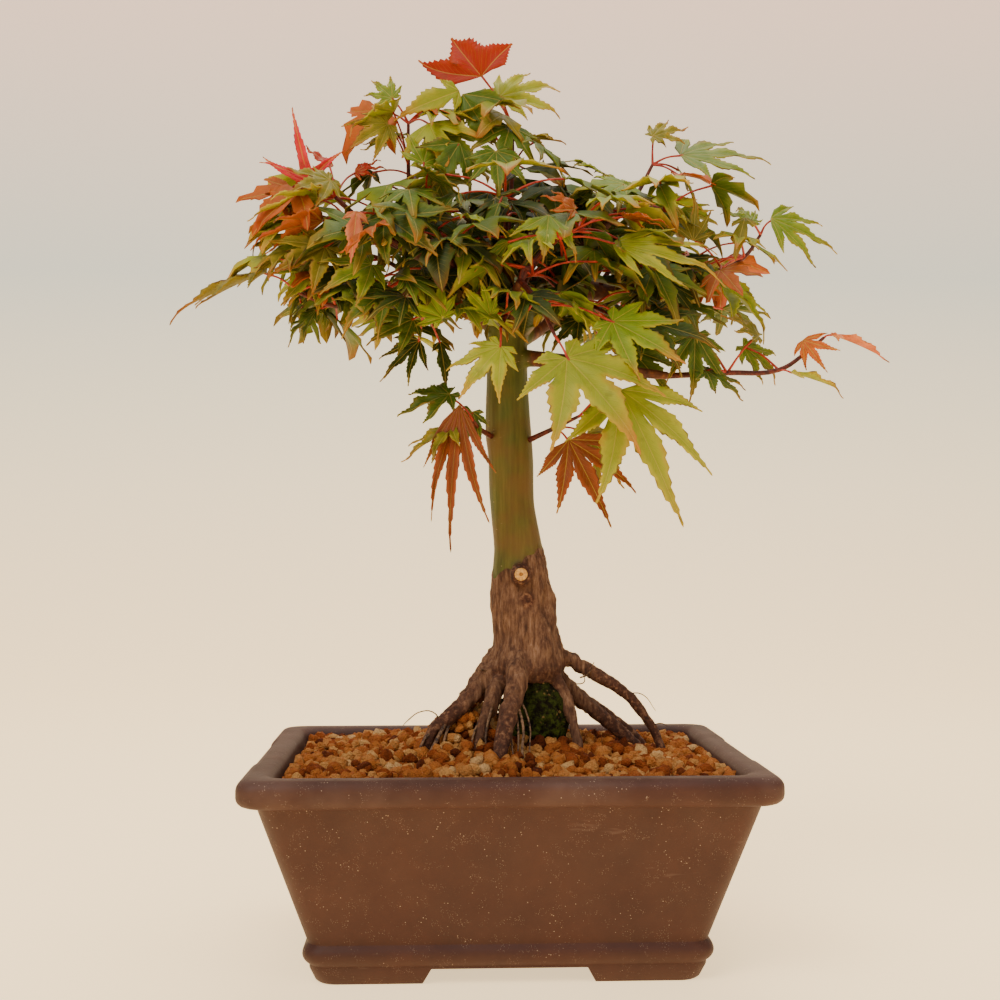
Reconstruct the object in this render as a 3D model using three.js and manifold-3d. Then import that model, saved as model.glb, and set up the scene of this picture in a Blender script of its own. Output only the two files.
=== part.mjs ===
// Japanese maple bonsai in an unglazed rectangular pot.
// Millimetres, +Z up, front of the pot towards -Y. The feet stand on Z = 0.

import * as THREE from 'three';
import { mergeVertices } from 'three/addons/utils/BufferGeometryUtils.js';
import Module from 'manifold-3d';

const wasm = await Module();
wasm.setup();
const { Manifold } = wasm;

// ---------------------------------------------------------------- driving sizes

const GAP = 0.35;                // clearance kept wherever two pieces meet

const POT_WIDTH = 150;           // over the rim, along X
const POT_DEPTH = 120;           // over the rim, along Y
const POT_HEIGHT = 60;
const RIM_HEIGHT = 8.3;          // bull-nosed rim band
const RIM_OVERHANG = 5;          // how far the rim stands out over the wall
const RIM_WALL = 9.4;            // width of the rim over its top, rounding included
const RIM_ROUND = 3;             // rounding of the rim's outer edges
const WALL = 6;                  // side wall thickness
const WALL_TAPER = 13;           // inward lean of each side, rim to base
const CORNER_RADIUS = 6;
const HOLLOW_CORNER = 5;         // corner radius inside the pot
const FLOOR_COVE = 2;            // how far the wall curves in where it meets the floor
const FLOOR_COVE_HEIGHT = 4;
const MOUTH_SPLAY = 3;           // height over which the inner wall opens out under the rim
const MOULDING_HEIGHT = 6.9;     // rounded band round the base
const MOULDING_BULGE = 1.2;
const MOULDING_SECTION = [[0.35, 0.8], [0.6, 1]];  // shares of its height and of its bulge
const GROOVE_DEPTH = 0.3;        // groove between the feet and the moulding
const GROOVE_HEIGHT = 0.8;
const RIM_EASE = 0.4;            // slope of the rim's underside
const FOOT_HEIGHT = 4.6;
const FOOT_INSET = 2;            // foot set in from the wall above it
const FOOT_LENGTH = 30;          // foot along the front and back
const FOOT_DEPTH = 22;           // foot along the sides
const FOOT_SLOPE = 3;            // lean of each foot's inner end
const FOOT_BAR = 11;             // thickness of the L-shaped feet
const FLOOR_THICKNESS = 6;
const DRAIN_RADIUS = 6.5;
const DRAIN_SIDES = 20;
const DRAIN_SPACING = 56;        // between the two drain holes
const SCREEN_MARGIN = 5;         // mesh screen overlap round a drain hole
const SCREEN_THICKNESS = 1;
const SCREEN_CELL = 3.4;         // open cell of the mesh
const SCREEN_BAR = 1.5;          // bar between cells

const SOIL_BELOW_RIM = 2.6;      // soil surface at the wall
const MOUND_HEIGHT = 6;          // broad mound round the tree
const MOUND_SPREAD = 38;
const PILE_HEIGHT = 9;           // grains heaped against the left roots
const PILE_SPREAD = 10;
const PILE_CENTRE = [-8, 2];
const GRAIN_BUMP = 0.4;          // height of the surface's slow waves
// Each slow wave of the surface: its phase per millimetre along X and along Y, in radians.
const SOIL_WAVES = [[0.23, 0.11], [-0.08, 0.31]];
const SOIL_CELLS = [13, 10];     // facets of the surface along X and Y

const MOSS_CENTRE = [9.5, -3, 70];
const MOSS_SIZE = [11, 10, 13];  // half sizes
const MOSS_LUMP = 0.05;          // lumps, as a share of those
const MOSS_WAVES = [[5, 0, 3], [-2, 4, 0]];  // phase of each lump wave along X, Y and Z

const LEAF_THICKNESS = 0.9;      // where a blade meets its stalk
const PETIOLE_RADIUS = 0.55;
const STALK_ARCH = 0.08;         // rise of a stalk's middle, as a share of its length
const STALK_INTO_BLADE = 0.03;   // how far a stalk runs under its blade, as a share of it
const TWIG_BASE_RADIUS = 1.3;
const TWIG_TIP_RADIUS = 0.8;

// Sides round and steps along each kind of wood.
const TRUNK_SIDES = 10;
const RIDGE_FACETS = [6, 4];
const STUB_FACETS = [8, 1];
const ROOT_FACETS = [5, 6];
const LIMB_FACETS = [5, 4];
const TWIG_SIDES = 4;
const STALK_FACETS = [3, 2];

// Shoots that fill the crown between the placed ones. A pair is a least value and a random range.
const CROWN_CENTRE = [4, 4, 208];
const CROWN_RADII = [78, 54, 46];
const INFILL_SHOOTS = 18;
const INFILL_LEAF = 18;          // middle lobe of an infill leaf
const INFILL_SEED = 2718;
const INFILL_LOWEST = -0.35;     // lowest and highest shoots, as shares of the crown's half height
const INFILL_HIGHEST = 0.9;
const INFILL_FRONT = -0.25;      // shoots further forward than this share stay deeper in the crown
const INFILL_REACH_FRONT = 0.5;
const INFILL_REACH = 0.74;
const INFILL_REACH_RANGE = 0.12;
const INFILL_TURNS = [-1.35, 0, 1.35];
const INFILL_TURN_RANGE = 0.3;
const INFILL_STALK = [14, 5];
const INFILL_SIZE = [0.85, 0.35];
const INFILL_PITCH = [0.15, 0.45];
const INFILL_LIFT = [3, 4];
const INFILL_ARCH = 3;           // rise of an infill twig's middle
const INFILL_TINTS = ['green', 'lime', 'green', 'lime', 'olive', 'green'];
const GOLDEN_ANGLE = 137.508;

// The tree's own heights, in the tables below, count the soil surface at the wall as this high.
const TREE_SOIL_LEVEL = 57.4;

// ---------------------------------------------------------------- materials

const paint = (color, roughness) => new THREE.MeshStandardMaterial({ color, roughness, metalness: 0 });

const CLAY = paint(0x6b4030, 0.7);
const MESH_PLASTIC = paint(0x23282a, 0.6);
const AKADAMA = paint(0xb5743a, 0.95);
const MOSS = paint(0x3a3f1c, 0.95);
const BARK = paint(0x6b6436, 0.75);
const LEAF_PAINTS = {
  green: paint(0x5a7f26, 0.5),
  lime: paint(0xa3ab2c, 0.5),
  olive: paint(0x9c7a22, 0.5),
  orange: paint(0xc8641e, 0.5),
  red: paint(0xc8381e, 0.5),
  pink: paint(0xdc4a5a, 0.5),
};

// ---------------------------------------------------------------- wood

// The trunk's rings. Other old wood has points along its middle, with the radius at each end.
const TRUNK_RINGS = [
  // x, y, z, radius
  [7.6, 0, 81, 10], [7.6, 0, 85, 11.8], [7.6, 0, 90, 11], [6.8, 0, 97, 9.8],
  [6, 0, 106, 9.3], [5.4, 0, 115, 8.8], [4.6, 0, 123, 7.6], [2.8, 0, 136, 6.9],
  [2.2, 0, 152, 7.1], [1.6, 0, 158, 7.3], [1.2, 0, 176, 6.5], [1.3, 0, 191, 6.6], [2, 0, 200, 5.6],
];
const BARK_RIDGE = {
  points: [[13, -3, 92], [12.6, -2.5, 104], [11, -2, 114], [9.6, -1.5, 122]],
  radii: [4, 2.6],
};
const CUT_STUB = { points: [[4.9, -3, 113], [4.9, -11.5, 114.3]], radii: [3, 2.7] };

const ROOTS = {
  arching: {
    points: [[14, 0, 91], [20, 0, 88], [27, -1, 84], [38, -2, 77], [44, -2, 70], [49, -2, 61], [50, -2, 54]],
    radii: [2.7, 1.1],
  },
  front: {
    points: [[5, -4, 92], [4.5, -10, 86], [2, -17, 76], [-1.5, -25, 65], [-3, -29, 55]],
    radii: [4.2, 1.8],
  },
  left: {
    points: [[0, 0, 90], [-6, -3, 83], [-11, -7, 76], [-17, -10, 71], [-22, -12, 67], [-25, -13, 54]],
    radii: [4, 1.4],
  },
  left_low: { points: [[-1, -6, 82], [-5, -11, 73], [-8, -15, 64], [-9, -17, 55]], radii: [2.4, 1.2] },
  right_low: {
    points: [[15, 2, 84], [24, 4, 75], [34, 5, 67], [43, 5, 59], [47, 5, 53]],
    radii: [3.2, 1.4],
  },
  right_back: {
    points: [[13, 5, 84], [24, 10, 75], [36, 13, 67], [46, 15, 58], [50, 16, 52]],
    radii: [3, 1.4],
  },
  front_right: { points: [[14, -4, 86], [19, -7, 75], [22, -9, 65], [23, -10, 54]], radii: [2.4, 1.2] },
  back_left: { points: [[2, 6, 86], [-8, 15, 75], [-18, 24, 64], [-22, 29, 54]], radii: [3.4, 1.5] },
  back: { points: [[8, 7, 86], [12, 18, 74], [14, 28, 63], [15, 33, 54]], radii: [3.2, 1.5] },
};

const LIMBS = {
  right: {
    points: [[1, 0, 186], [7, 0, 199], [16, 1, 206], [30, 3, 204], [46, 4, 205], [60, 2, 209]],
    radii: [5.6, 1.5],
  },
  left: { points: [[0, 0, 188], [-7, -3, 202], [-20, -7, 210], [-32, -10, 215]], radii: [4.6, 1.5] },
  low_left: { points: [[-1, -2, 190], [-12, -5, 196], [-24, -6, 198], [-38, -6, 198]], radii: [2.8, 1.3] },
  top: { points: [[2, 0, 192], [1, 1, 204], [1, 0, 214]], radii: [3.4, 1.7] },
  back: { points: [[2, 2, 188], [7, 16, 202], [13, 32, 208]], radii: [3.8, 1.6] },
  back_left: { points: [[0, 3, 190], [-14, 16, 204], [-26, 28, 210]], radii: [3.4, 1.5] },
  back_right: { points: [[4, 2, 188], [20, 16, 198], [38, 28, 204]], radii: [3.6, 1.5] },
  low_right: { points: [[4, -2, 182], [18, -8, 180], [34, -12, 177], [50, -14, 175]], radii: [2.8, 1.4] },
  front: { points: [[2, -2, 188], [3, -14, 197], [4, -24, 202]], radii: [3, 1.4] },
  up_right: { points: [[13, 1, 203], [24, 4, 216], [34, 4, 226]], radii: [2.6, 1.3] },
};

// ---------------------------------------------------------------- placed shoots

// The side of a blade that faces a direction, used to turn it about its middle lobe.
const UP = [0, 0, 1];
const FRONT = [0, -1, 0.15];
const TILT = [0, -0.75, 0.65];

// Each shoot: the twig's points, then its leaves as [twig point, blade base, lobe tip, facing],
// with a last number on a leaf whose side lobes hang closer to the middle one.
const PLACED_SHOOTS = [
  { name: 'top', tint: 'red', twig: [[1, 0, 214], [2, 1, 228], [3, 2, 243], [3, 2, 256]],
    leaves: [
      [3, [-6, 0, 272], [-16, 4, 283], FRONT], [3, [-1, 4, 266], [19, 8, 274], TILT],
      [2, [-6, -12, 250], [-14, -6, 268], FRONT], [3, [5, 2, 252], [20, 2, 253], UP],
      [2, [-3, -16, 243], [-2, -24, 227], FRONT],
    ] },
  { name: 'top_left', tint: 'lime', twig: [[-24, -7, 211], [-29, 2, 226], [-30, 4, 244], [-30, 3, 257]],
    leaves: [
      [3, [-28, -4, 258], [-16, -2, 268], TILT], [3, [-35, 0, 264], [-42, 4, 272], FRONT],
      [2, [-34, -6, 258], [-50, -14, 252], UP], [2, [-36, -9, 253], [-48, -16, 244], TILT],
      [2, [-33, 9, 255], [-46, 14, 252], UP],
    ] },
  { name: 'upper_left', tint: 'green', twig: [[-14, -6, 206], [-20, -12, 218], [-24, -17, 230]],
    leaves: [[2, [-25, -16, 239], [-22, -11, 252], FRONT], [2, [-24, -24, 234], [-12, -34, 228], UP]] },
  { name: 'front_left', tint: 'green', twig: [[-20, -8, 210], [-24, -18, 215], [-30, -26, 217]],
    leaves: [
      [1, [-13, -30, 220], [0, -38, 216], UP], [2, [-36, -32, 219], [-21, -46, 206], TILT],
      [2, [-44, -34, 220], [-44, -41, 205], FRONT],
    ] },
  { name: 'pink_tip', tint: 'pink',
    twig: [[-32, -10, 215], [-43, -10, 222], [-52, -10, 230], [-58, -10, 235]],
    leaves: [
      [3, [-62, -10, 239], [-68, -14, 253], FRONT], [2, [-54, -3, 241], [-62, 0, 249], TILT],
      [2, [-47, 3, 243], [-37, 0, 243], UP], [2, [-53, -18, 233], [-64, -28, 228], TILT],
    ] },
  { name: 'left_fan', tint: 'orange', twig: [[-28, -10, 213], [-40, -15, 219], [-49, -17, 223]],
    leaves: [
      [2, [-56, -16, 228], [-78, -24, 223], UP], [2, [-55, -20, 220], [-77, -28, 215], UP],
      [1, [-54, -22, 212], [-69, -31, 203], TILT],
    ] },
  { name: 'left_drooping', tint: 'green', twig: [[-30, -8, 214], [-46, -3, 222], [-60, -1, 227]],
    leaves: [[2, [-67, 0, 230], [-82, 2, 217], UP], [1, [-52, 4, 232], [-66, 10, 234], UP]] },
  { name: 'far_left', tint: 'olive', twig: [[-38, -6, 198], [-52, -6, 197], [-64, -8, 201]],
    leaves: [
      [2, [-73, -8, 207], [-102, -16, 195], UP], [1, [-58, -4, 196], [-69, -4, 187], TILT],
      [1, [-57, -14, 208], [-67, -22, 196], TILT],
    ] },
  { name: 'lower_left', tint: 'green', twig: [[-14, -6, 196], [-20, -14, 195], [-25, -19, 192]],
    leaves: [
      [1, [-19, -28, 190], [-28, -26, 203], FRONT], [2, [-28, -19, 191], [-41, -26, 184], TILT],
      [2, [-26, -10, 186], [-39, -10, 174], TILT], [2, [-20, -2, 187], [-17, -3, 175], FRONT],
    ] },
  { name: 'left_broad', tint: 'green', twig: [[-32, -6, 198], [-36, -14, 201], [-38, -20, 203]],
    leaves: [[2, [-40, -26, 206], [-54, -36, 198], TILT], [2, [-36, -26, 198], [-49, -33, 187], TILT]] },
  { name: 'front_middle', tint: 'lime', twig: [[3, -14, 196], [0, -22, 192], [-2, -28, 187]],
    leaves: [[2, [-2, -33, 181], [-15, -40, 167], TILT], [1, [-5, -27, 191], [-14, -30, 200], FRONT]] },
  { name: 'trunk_left', tint: 'orange', twig: [[-4, -5, 157], [-8, -12, 159], [-10, -16, 161]],
    leaves: [
      [2, [-14, -24, 165], [-19, -38, 124], FRONT, 0.5], [1, [-17, -14, 169], [-33, -16, 163], TILT],
      [2, [-16, -24, 158], [-32, -30, 150], UP], [1, [-10, -12, 164], [-14, -14, 151], FRONT],
    ] },
  { name: 'trunk_right', tint: 'orange', twig: [[8, -4, 156], [15, -11, 159], [22, -20, 162]],
    leaves: [
      [1, [19, -17, 155], [31, -26, 132], TILT], [1, [26, -4, 158], [40, 0, 142], TILT],
      [2, [32, -38, 168], [50, -49, 132], TILT],
    ] },
  { name: 'front_right', tint: 'lime', twig: [[4, -24, 202], [9, -35, 193], [13, -41, 183]],
    leaves: [[2, [16, -45, 176], [36, -60, 153], TILT], [1, [30, -36, 188], [50, -46, 176], TILT]] },
  { name: 'right_broad', tint: 'green', twig: [[20, 1, 205], [27, -10, 197], [34, -18, 192]],
    leaves: [
      [2, [40, -25, 190], [62, -34, 184], TILT], [1, [39, -6, 184], [54, -8, 169], TILT],
      [1, [22, -22, 191], [12, -26, 182], TILT],
    ] },
  { name: 'right_low', tint: 'olive',
    twig: [[50, -14, 175], [68, -14, 176], [84, -14, 177], [92, -14, 182], [98, -14, 187]],
    leaves: [
      [3, [91, -16, 186], [97, -20, 178], FRONT], [4, [100, -14, 188], [119, -15, 182], UP],
      [2, [87, -16, 176], [103, -21, 171], UP], [2, [74, -9, 185], [86, -10, 175], TILT],
      [1, [77, -17, 187], [66, -20, 194], TILT], [1, [60, -20, 176], [71, -27, 168], UP],
      [1, [57, -20, 187], [56, -24, 167], FRONT],
    ] },
  { name: 'right_high', tint: 'olive', twig: [[60, 2, 209], [70, 2, 211], [77, 2, 215], [82, 1, 222]],
    leaves: [
      [3, [85, 0, 227], [109, 2, 219], UP], [2, [66, -4, 208], [84, -10, 190], UP],
      [1, [58, -12, 217], [60, -10, 231], FRONT], [3, [80, 6, 227], [78, 14, 236], TILT],
    ] },
  { name: 'upper_right', tint: 'lime', twig: [[34, 4, 226], [42, 4, 234], [48, 4, 245]],
    leaves: [
      [2, [48, 4, 254], [60, 6, 258], TILT], [2, [57, 4, 248], [88, 8, 251], UP],
      [1, [32, 4, 242], [20, 2, 248], UP], [1, [46, -5, 231], [66, -6, 229], UP],
      [1, [40, -8, 233], [27, -12, 236], TILT],
    ] },
  { name: 'front_high', tint: 'orange', twig: [[3, -12, 196], [9, -24, 208], [15, -32, 213]],
    leaves: [
      [2, [19, -38, 220], [10, -43, 224], TILT], [2, [11, -44, 215], [10, -55, 204], TILT],
      [2, [34, -30, 220], [47, -36, 218], UP], [2, [30, -35, 211], [62, -45, 204], UP],
    ] },
  { name: 'middle_dark', tint: 'green', twig: [[6, 14, 201], [8, 16, 218], [9, 17, 234]],
    leaves: [
      [2, [13, 14, 242], [6, 7, 221], FRONT], [2, [-4, 14, 238], [-10, 7, 219], FRONT],
      [1, [22, 14, 234], [27, 8, 216], FRONT],
    ] },
];

// ---------------------------------------------------------------- small maths

// How far the tree rises or sinks with the soil it stands in.
const TREE_LIFT = POT_HEIGHT - SOIL_BELOW_RIM - TREE_SOIL_LEVEL;

const vec = (p) => new THREE.Vector3(p[0], p[1], p[2]);
const radians = THREE.MathUtils.degToRad;

const LEHMER_FACTOR = 16807;
const LEHMER_PRIME = 2147483647;

// Repeatable random numbers from 0 to 1.
function makeRandom(seed) {
  let state = seed;
  return () => {
    state = (state * LEHMER_FACTOR) % LEHMER_PRIME;
    return state / LEHMER_PRIME;
  };
}

// ---------------------------------------------------------------- solids and geometry

const WELD = 1e-4;               // points closer than this are one

function solidOf(geometry) {
  const plain = geometry.clone();
  plain.deleteAttribute('normal');
  plain.deleteAttribute('uv');
  const merged = mergeVertices(plain, WELD);
  return new Manifold(new wasm.Mesh({
    numProp: 3,
    vertProperties: new Float32Array(merged.attributes.position.array),
    triVerts: new Uint32Array(merged.index.array),
  }));
}

function geometryOf(solid) {
  const mesh = solid.getMesh();
  const geometry = new THREE.BufferGeometry();
  geometry.setAttribute('position', new THREE.BufferAttribute(new Float32Array(mesh.vertProperties), 3));
  geometry.setIndex(new THREE.BufferAttribute(new Uint32Array(mesh.triVerts), 1));
  geometry.computeVertexNormals();
  return geometry;
}

const joined = (solids) => Manifold.union(solids);

// The largest closed shell of a solid: loose cuttings and sealed pockets are dropped.
function largestShell(solid) {
  const { vertProperties, triVerts } = solid.getMesh();
  const parent = new Int32Array(vertProperties.length / 3).map((_, index) => index);
  const rootOf = (index) => {
    let root = index;
    while (parent[root] !== root) {
      parent[root] = parent[parent[root]];
      root = parent[root];
    }
    return root;
  };
  for (let i = 0; i < triVerts.length; i += 3) {
    parent[rootOf(triVerts[i])] = rootOf(triVerts[i + 1]);
    parent[rootOf(triVerts[i + 1])] = rootOf(triVerts[i + 2]);
  }
  const corner = (index) => new THREE.Vector3().fromArray(vertProperties, 3 * triVerts[index]);
  const shells = new Map();
  for (let i = 0; i < triVerts.length; i += 3) {
    const root = rootOf(triVerts[i]);
    const shell = shells.get(root) ?? { volume: 0, corners: [] };
    shell.volume += corner(i).dot(corner(i + 1).cross(corner(i + 2))) / 6;
    shell.corners.push(corner(i), corner(i + 1), corner(i + 2));
    shells.set(root, shell);
  }
  const largest = [...shells.values()].reduce((best, shell) => (shell.volume > best.volume ? shell : best));
  return new THREE.BufferGeometry().setFromPoints(largest.corners);
}

// A closed skin through rings of equal length, capped at both ends by fans.
function skinRings(rings) {
  const count = rings[0].length;
  const positions = rings.flat().flatMap((p) => [p.x, p.y, p.z]);
  const faces = [];
  for (let r = 0; r + 1 < rings.length; r += 1) {
    for (let i = 0; i < count; i += 1) {
      const j = (i + 1) % count;
      const a = r * count + i;
      const b = r * count + j;
      faces.push(a, b, b + count, a, b + count, a + count);
    }
  }
  const capAt = (ring, start, flip) => {
    const middle = ring.reduce((sum, p) => sum.add(p), new THREE.Vector3()).divideScalar(count);
    const centre = positions.length / 3;
    positions.push(middle.x, middle.y, middle.z);
    for (let i = 0; i < count; i += 1) {
      const j = (i + 1) % count;
      if (flip) {
        faces.push(centre, start + j, start + i);
      } else {
        faces.push(centre, start + i, start + j);
      }
    }
  };
  capAt(rings[0], 0, true);
  capAt(rings[rings.length - 1], (rings.length - 1) * count, false);
  const geometry = new THREE.BufferGeometry();
  geometry.setAttribute('position', new THREE.Float32BufferAttribute(positions, 3));
  geometry.setIndex(faces);
  return geometry;
}

// A rounded rectangle at height z, counter-clockwise seen from above.
function roundedRing(halfX, halfY, radius, z, cornerSteps = 4) {
  const ring = [];
  const corners = [[1, 1, 0], [-1, 1, 90], [-1, -1, 180], [1, -1, 270]];
  for (const [sx, sy, start] of corners) {
    for (let i = 0; i <= cornerSteps; i += 1) {
      const angle = radians(start + (90 * i) / cornerSteps);
      const x = sx * (halfX - radius) + radius * Math.cos(angle);
      const y = sy * (halfY - radius) + radius * Math.sin(angle);
      ring.push(new THREE.Vector3(x, y, z));
    }
  }
  return ring;
}

// A round bar along points, its radius going evenly from the first value to the last.
function taperedBar(points, radii, [sides, steps], grow) {
  const curve = new THREE.CatmullRomCurve3(points.map(vec), false, 'centripetal');
  const frames = curve.computeFrenetFrames(steps, false);
  const rings = [];
  for (let s = 0; s <= steps; s += 1) {
    const t = s / steps;
    const radius = radii[0] + (radii[1] - radii[0]) * t + grow;
    const middle = curve.getPointAt(t);
    if (s === 0) {
      middle.addScaledVector(frames.tangents[s], -grow);
    }
    if (s === steps) {
      middle.addScaledVector(frames.tangents[s], grow);
    }
    const ring = [];
    for (let i = 0; i < sides; i += 1) {
      const angle = (2 * Math.PI * i) / sides;
      const point = middle.clone();
      point.addScaledVector(frames.normals[s], radius * Math.cos(angle));
      point.addScaledVector(frames.binormals[s], radius * Math.sin(angle));
      ring.push(point);
    }
    rings.push(ring);
  }
  return solidOf(skinRings(rings));
}

// ---------------------------------------------------------------- pot

const HALF_DIFFERENCE = (POT_WIDTH - POT_DEPTH) / 2;
const FLOOR_TOP = FOOT_HEIGHT + FLOOR_THICKNESS;
const RIM_BOTTOM = POT_HEIGHT - RIM_HEIGHT;
const MOULDING_TOP = FOOT_HEIGHT + MOULDING_HEIGHT;
const OVERCUT = 1;               // how far a cutting solid runs past the face that it cuts

// Half the pot's width over its wall at a height.
const halfWall = (z) => {
  const share = (z - MOULDING_TOP) / (RIM_BOTTOM - MOULDING_TOP);
  return POT_WIDTH / 2 - RIM_OVERHANG - WALL_TAPER * (1 - share);
};

function potRing(halfX, z, radius = CORNER_RADIUS) {
  return roundedRing(halfX, halfX - HALF_DIFFERENCE, radius, z);
}

function potOutside() {
  const base = halfWall(MOULDING_TOP);
  const rim = POT_WIDTH / 2;
  const halfRound = RIM_ROUND * (1 - Math.SQRT1_2);  // how far in the rounding's middle lies
  return solidOf(skinRings([
    potRing(base - FOOT_INSET, 0),
    potRing(base - GROOVE_DEPTH, FOOT_HEIGHT),
    potRing(base - GROOVE_DEPTH, FOOT_HEIGHT + GROOVE_HEIGHT),
    ...MOULDING_SECTION.map(([up, out]) => (
      potRing(base + MOULDING_BULGE * out, FOOT_HEIGHT + MOULDING_HEIGHT * up))),
    potRing(base, MOULDING_TOP),
    potRing(halfWall(RIM_BOTTOM), RIM_BOTTOM),
    potRing(rim - RIM_ROUND, RIM_BOTTOM + RIM_EASE),
    potRing(rim - halfRound, RIM_BOTTOM + RIM_EASE + halfRound),
    potRing(rim, RIM_BOTTOM + RIM_EASE + RIM_ROUND),
    potRing(rim, POT_HEIGHT - RIM_ROUND),
    potRing(rim - halfRound, POT_HEIGHT - halfRound),
    potRing(rim - RIM_ROUND, POT_HEIGHT),
  ]));
}

// The hollow of the pot, drawn in all round by the given clearance and open over the highest soil.
function potHollow(clearance) {
  const heapRoom = MOUND_HEIGHT + PILE_HEIGHT + 2 * GRAIN_BUMP + OVERCUT;
  const mouth = POT_WIDTH / 2 - RIM_WALL;
  const inner = (z) => halfWall(z) - WALL - clearance;
  const coveTop = FLOOR_TOP + FLOOR_COVE_HEIGHT;
  const splay = RIM_BOTTOM - MOUTH_SPLAY;
  return solidOf(skinRings([
    potRing(inner(FLOOR_TOP) - FLOOR_COVE, FLOOR_TOP + clearance, HOLLOW_CORNER),
    potRing(inner(coveTop), coveTop, HOLLOW_CORNER),
    potRing(inner(splay), splay, HOLLOW_CORNER),
    potRing(mouth - clearance, POT_HEIGHT, HOLLOW_CORNER),
    potRing(mouth - clearance, POT_HEIGHT + heapRoom, HOLLOW_CORNER),
  ]));
}

// The gap between two feet, wider at the bottom, running right through under the pot.
function wedgeUnderPot(halfTop, halfBottom, length, alongX) {
  const shape = new THREE.Shape();
  shape.moveTo(-halfBottom, -OVERCUT);
  shape.lineTo(halfBottom, -OVERCUT);
  shape.lineTo(halfTop, FOOT_HEIGHT);
  shape.lineTo(-halfTop, FOOT_HEIGHT);
  const geometry = new THREE.ExtrudeGeometry(shape, { depth: length, bevelEnabled: false });
  geometry.translate(0, 0, -length / 2);
  geometry.rotateX(Math.PI / 2);
  if (alongX) {
    geometry.rotateZ(Math.PI / 2);
  }
  return solidOf(geometry);
}

function makePot() {
  const base = halfWall(MOULDING_TOP) - FOOT_INSET;
  const frontGap = base - FOOT_LENGTH;
  const sideGap = base - HALF_DIFFERENCE - FOOT_DEPTH;
  const cuts = [
    potHollow(0),
    wedgeUnderPot(frontGap - FOOT_SLOPE, frontGap, POT_DEPTH, false),
    wedgeUnderPot(sideGap - FOOT_SLOPE, sideGap, POT_WIDTH, true),
  ];
  const insideFeet = new THREE.BoxGeometry(
    2 * (base - FOOT_BAR), 2 * (base - HALF_DIFFERENCE - FOOT_BAR), FOOT_HEIGHT + OVERCUT);
  insideFeet.translate(0, 0, (FOOT_HEIGHT - OVERCUT) / 2);
  cuts.push(solidOf(insideFeet));
  for (const side of [-1, 1]) {
    const length = FLOOR_TOP + 2 * OVERCUT;
    const drain = new THREE.CylinderGeometry(DRAIN_RADIUS, DRAIN_RADIUS, length, DRAIN_SIDES);
    drain.rotateX(Math.PI / 2);
    drain.translate((side * DRAIN_SPACING) / 2, 0, FLOOR_TOP / 2);
    cuts.push(solidOf(drain));
  }
  return potOutside().subtract(joined(cuts));
}

const SCREEN_PITCH = SCREEN_CELL + SCREEN_BAR;
const SCREEN_CELLS = Math.round((2 * (DRAIN_RADIUS + SCREEN_MARGIN) - SCREEN_BAR) / SCREEN_PITCH);
const SCREEN_SIZE = SCREEN_CELLS * SCREEN_PITCH + SCREEN_BAR;

// The square block that a mesh screen is cut from, grown all round to cut its place in the soil.
function screenBlock(side, grow) {
  const width = SCREEN_SIZE + 2 * grow;
  const block = new THREE.BoxGeometry(width, width, SCREEN_THICKNESS + 2 * grow);
  block.translate((side * DRAIN_SPACING) / 2, 0, FLOOR_TOP + GAP + SCREEN_THICKNESS / 2);
  return solidOf(block);
}

// A plastic mesh square lying on the floor over a drain hole.
function makeScreen(side) {
  const holes = [];
  const first = -SCREEN_SIZE / 2 + SCREEN_BAR + SCREEN_CELL / 2;
  for (let row = 0; row < SCREEN_CELLS; row += 1) {
    for (let column = 0; column < SCREEN_CELLS; column += 1) {
      const hole = new THREE.BoxGeometry(SCREEN_CELL, SCREEN_CELL, FLOOR_TOP);
      const x = (side * DRAIN_SPACING) / 2 + first + column * SCREEN_PITCH;
      hole.translate(x, first + row * SCREEN_PITCH, FLOOR_TOP);
      holes.push(solidOf(hole));
    }
  }
  return screenBlock(side, 0).subtract(joined(holes));
}

// ---------------------------------------------------------------- soil and moss

function soilHeight(x, y) {
  const spread = (x * x + y * y) / (MOUND_SPREAD * MOUND_SPREAD);
  const pile = ((x - PILE_CENTRE[0]) ** 2 + (y - PILE_CENTRE[1]) ** 2) / (2 * PILE_SPREAD * PILE_SPREAD);
  const waves = SOIL_WAVES.map(([alongX, alongY]) => Math.sin(x * alongX + y * alongY));
  const bumps = GRAIN_BUMP * (waves[0] + waves[1]);
  const heaped = MOUND_HEIGHT * Math.exp(-spread) + PILE_HEIGHT * Math.exp(-pile);
  return POT_HEIGHT - SOIL_BELOW_RIM + heaped + bumps;
}

function soilBlock() {
  const [columns, rows] = SOIL_CELLS;
  const block = new THREE.BoxGeometry(POT_WIDTH, POT_DEPTH, POT_HEIGHT, columns, rows, 1);
  const position = block.attributes.position;
  for (let i = 0; i < position.count; i += 1) {
    const top = position.getZ(i) > 0;
    const z = top ? soilHeight(position.getX(i), position.getY(i)) : 0;
    position.setZ(i, z);
  }
  return solidOf(block);
}

function makeMoss(grow) {
  const ball = new THREE.IcosahedronGeometry(1, 2);
  const position = ball.attributes.position;
  for (let i = 0; i < position.count; i += 1) {
    const x = position.getX(i);
    const y = position.getY(i);
    const z = position.getZ(i);
    const [first, second] = MOSS_WAVES.map((wave) => wave[0] * x + wave[1] * y + wave[2] * z);
    const lump = 1 + MOSS_LUMP * Math.sin(first) * Math.cos(second);
    position.setXYZ(
      i,
      MOSS_CENTRE[0] + x * (MOSS_SIZE[0] * lump + grow),
      MOSS_CENTRE[1] + y * (MOSS_SIZE[1] * lump + grow),
      MOSS_CENTRE[2] + z * (MOSS_SIZE[2] * lump + grow),
    );
  }
  return solidOf(ball).translate(0, 0, TREE_LIFT);
}

// ---------------------------------------------------------------- trunk, roots and limbs

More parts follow.
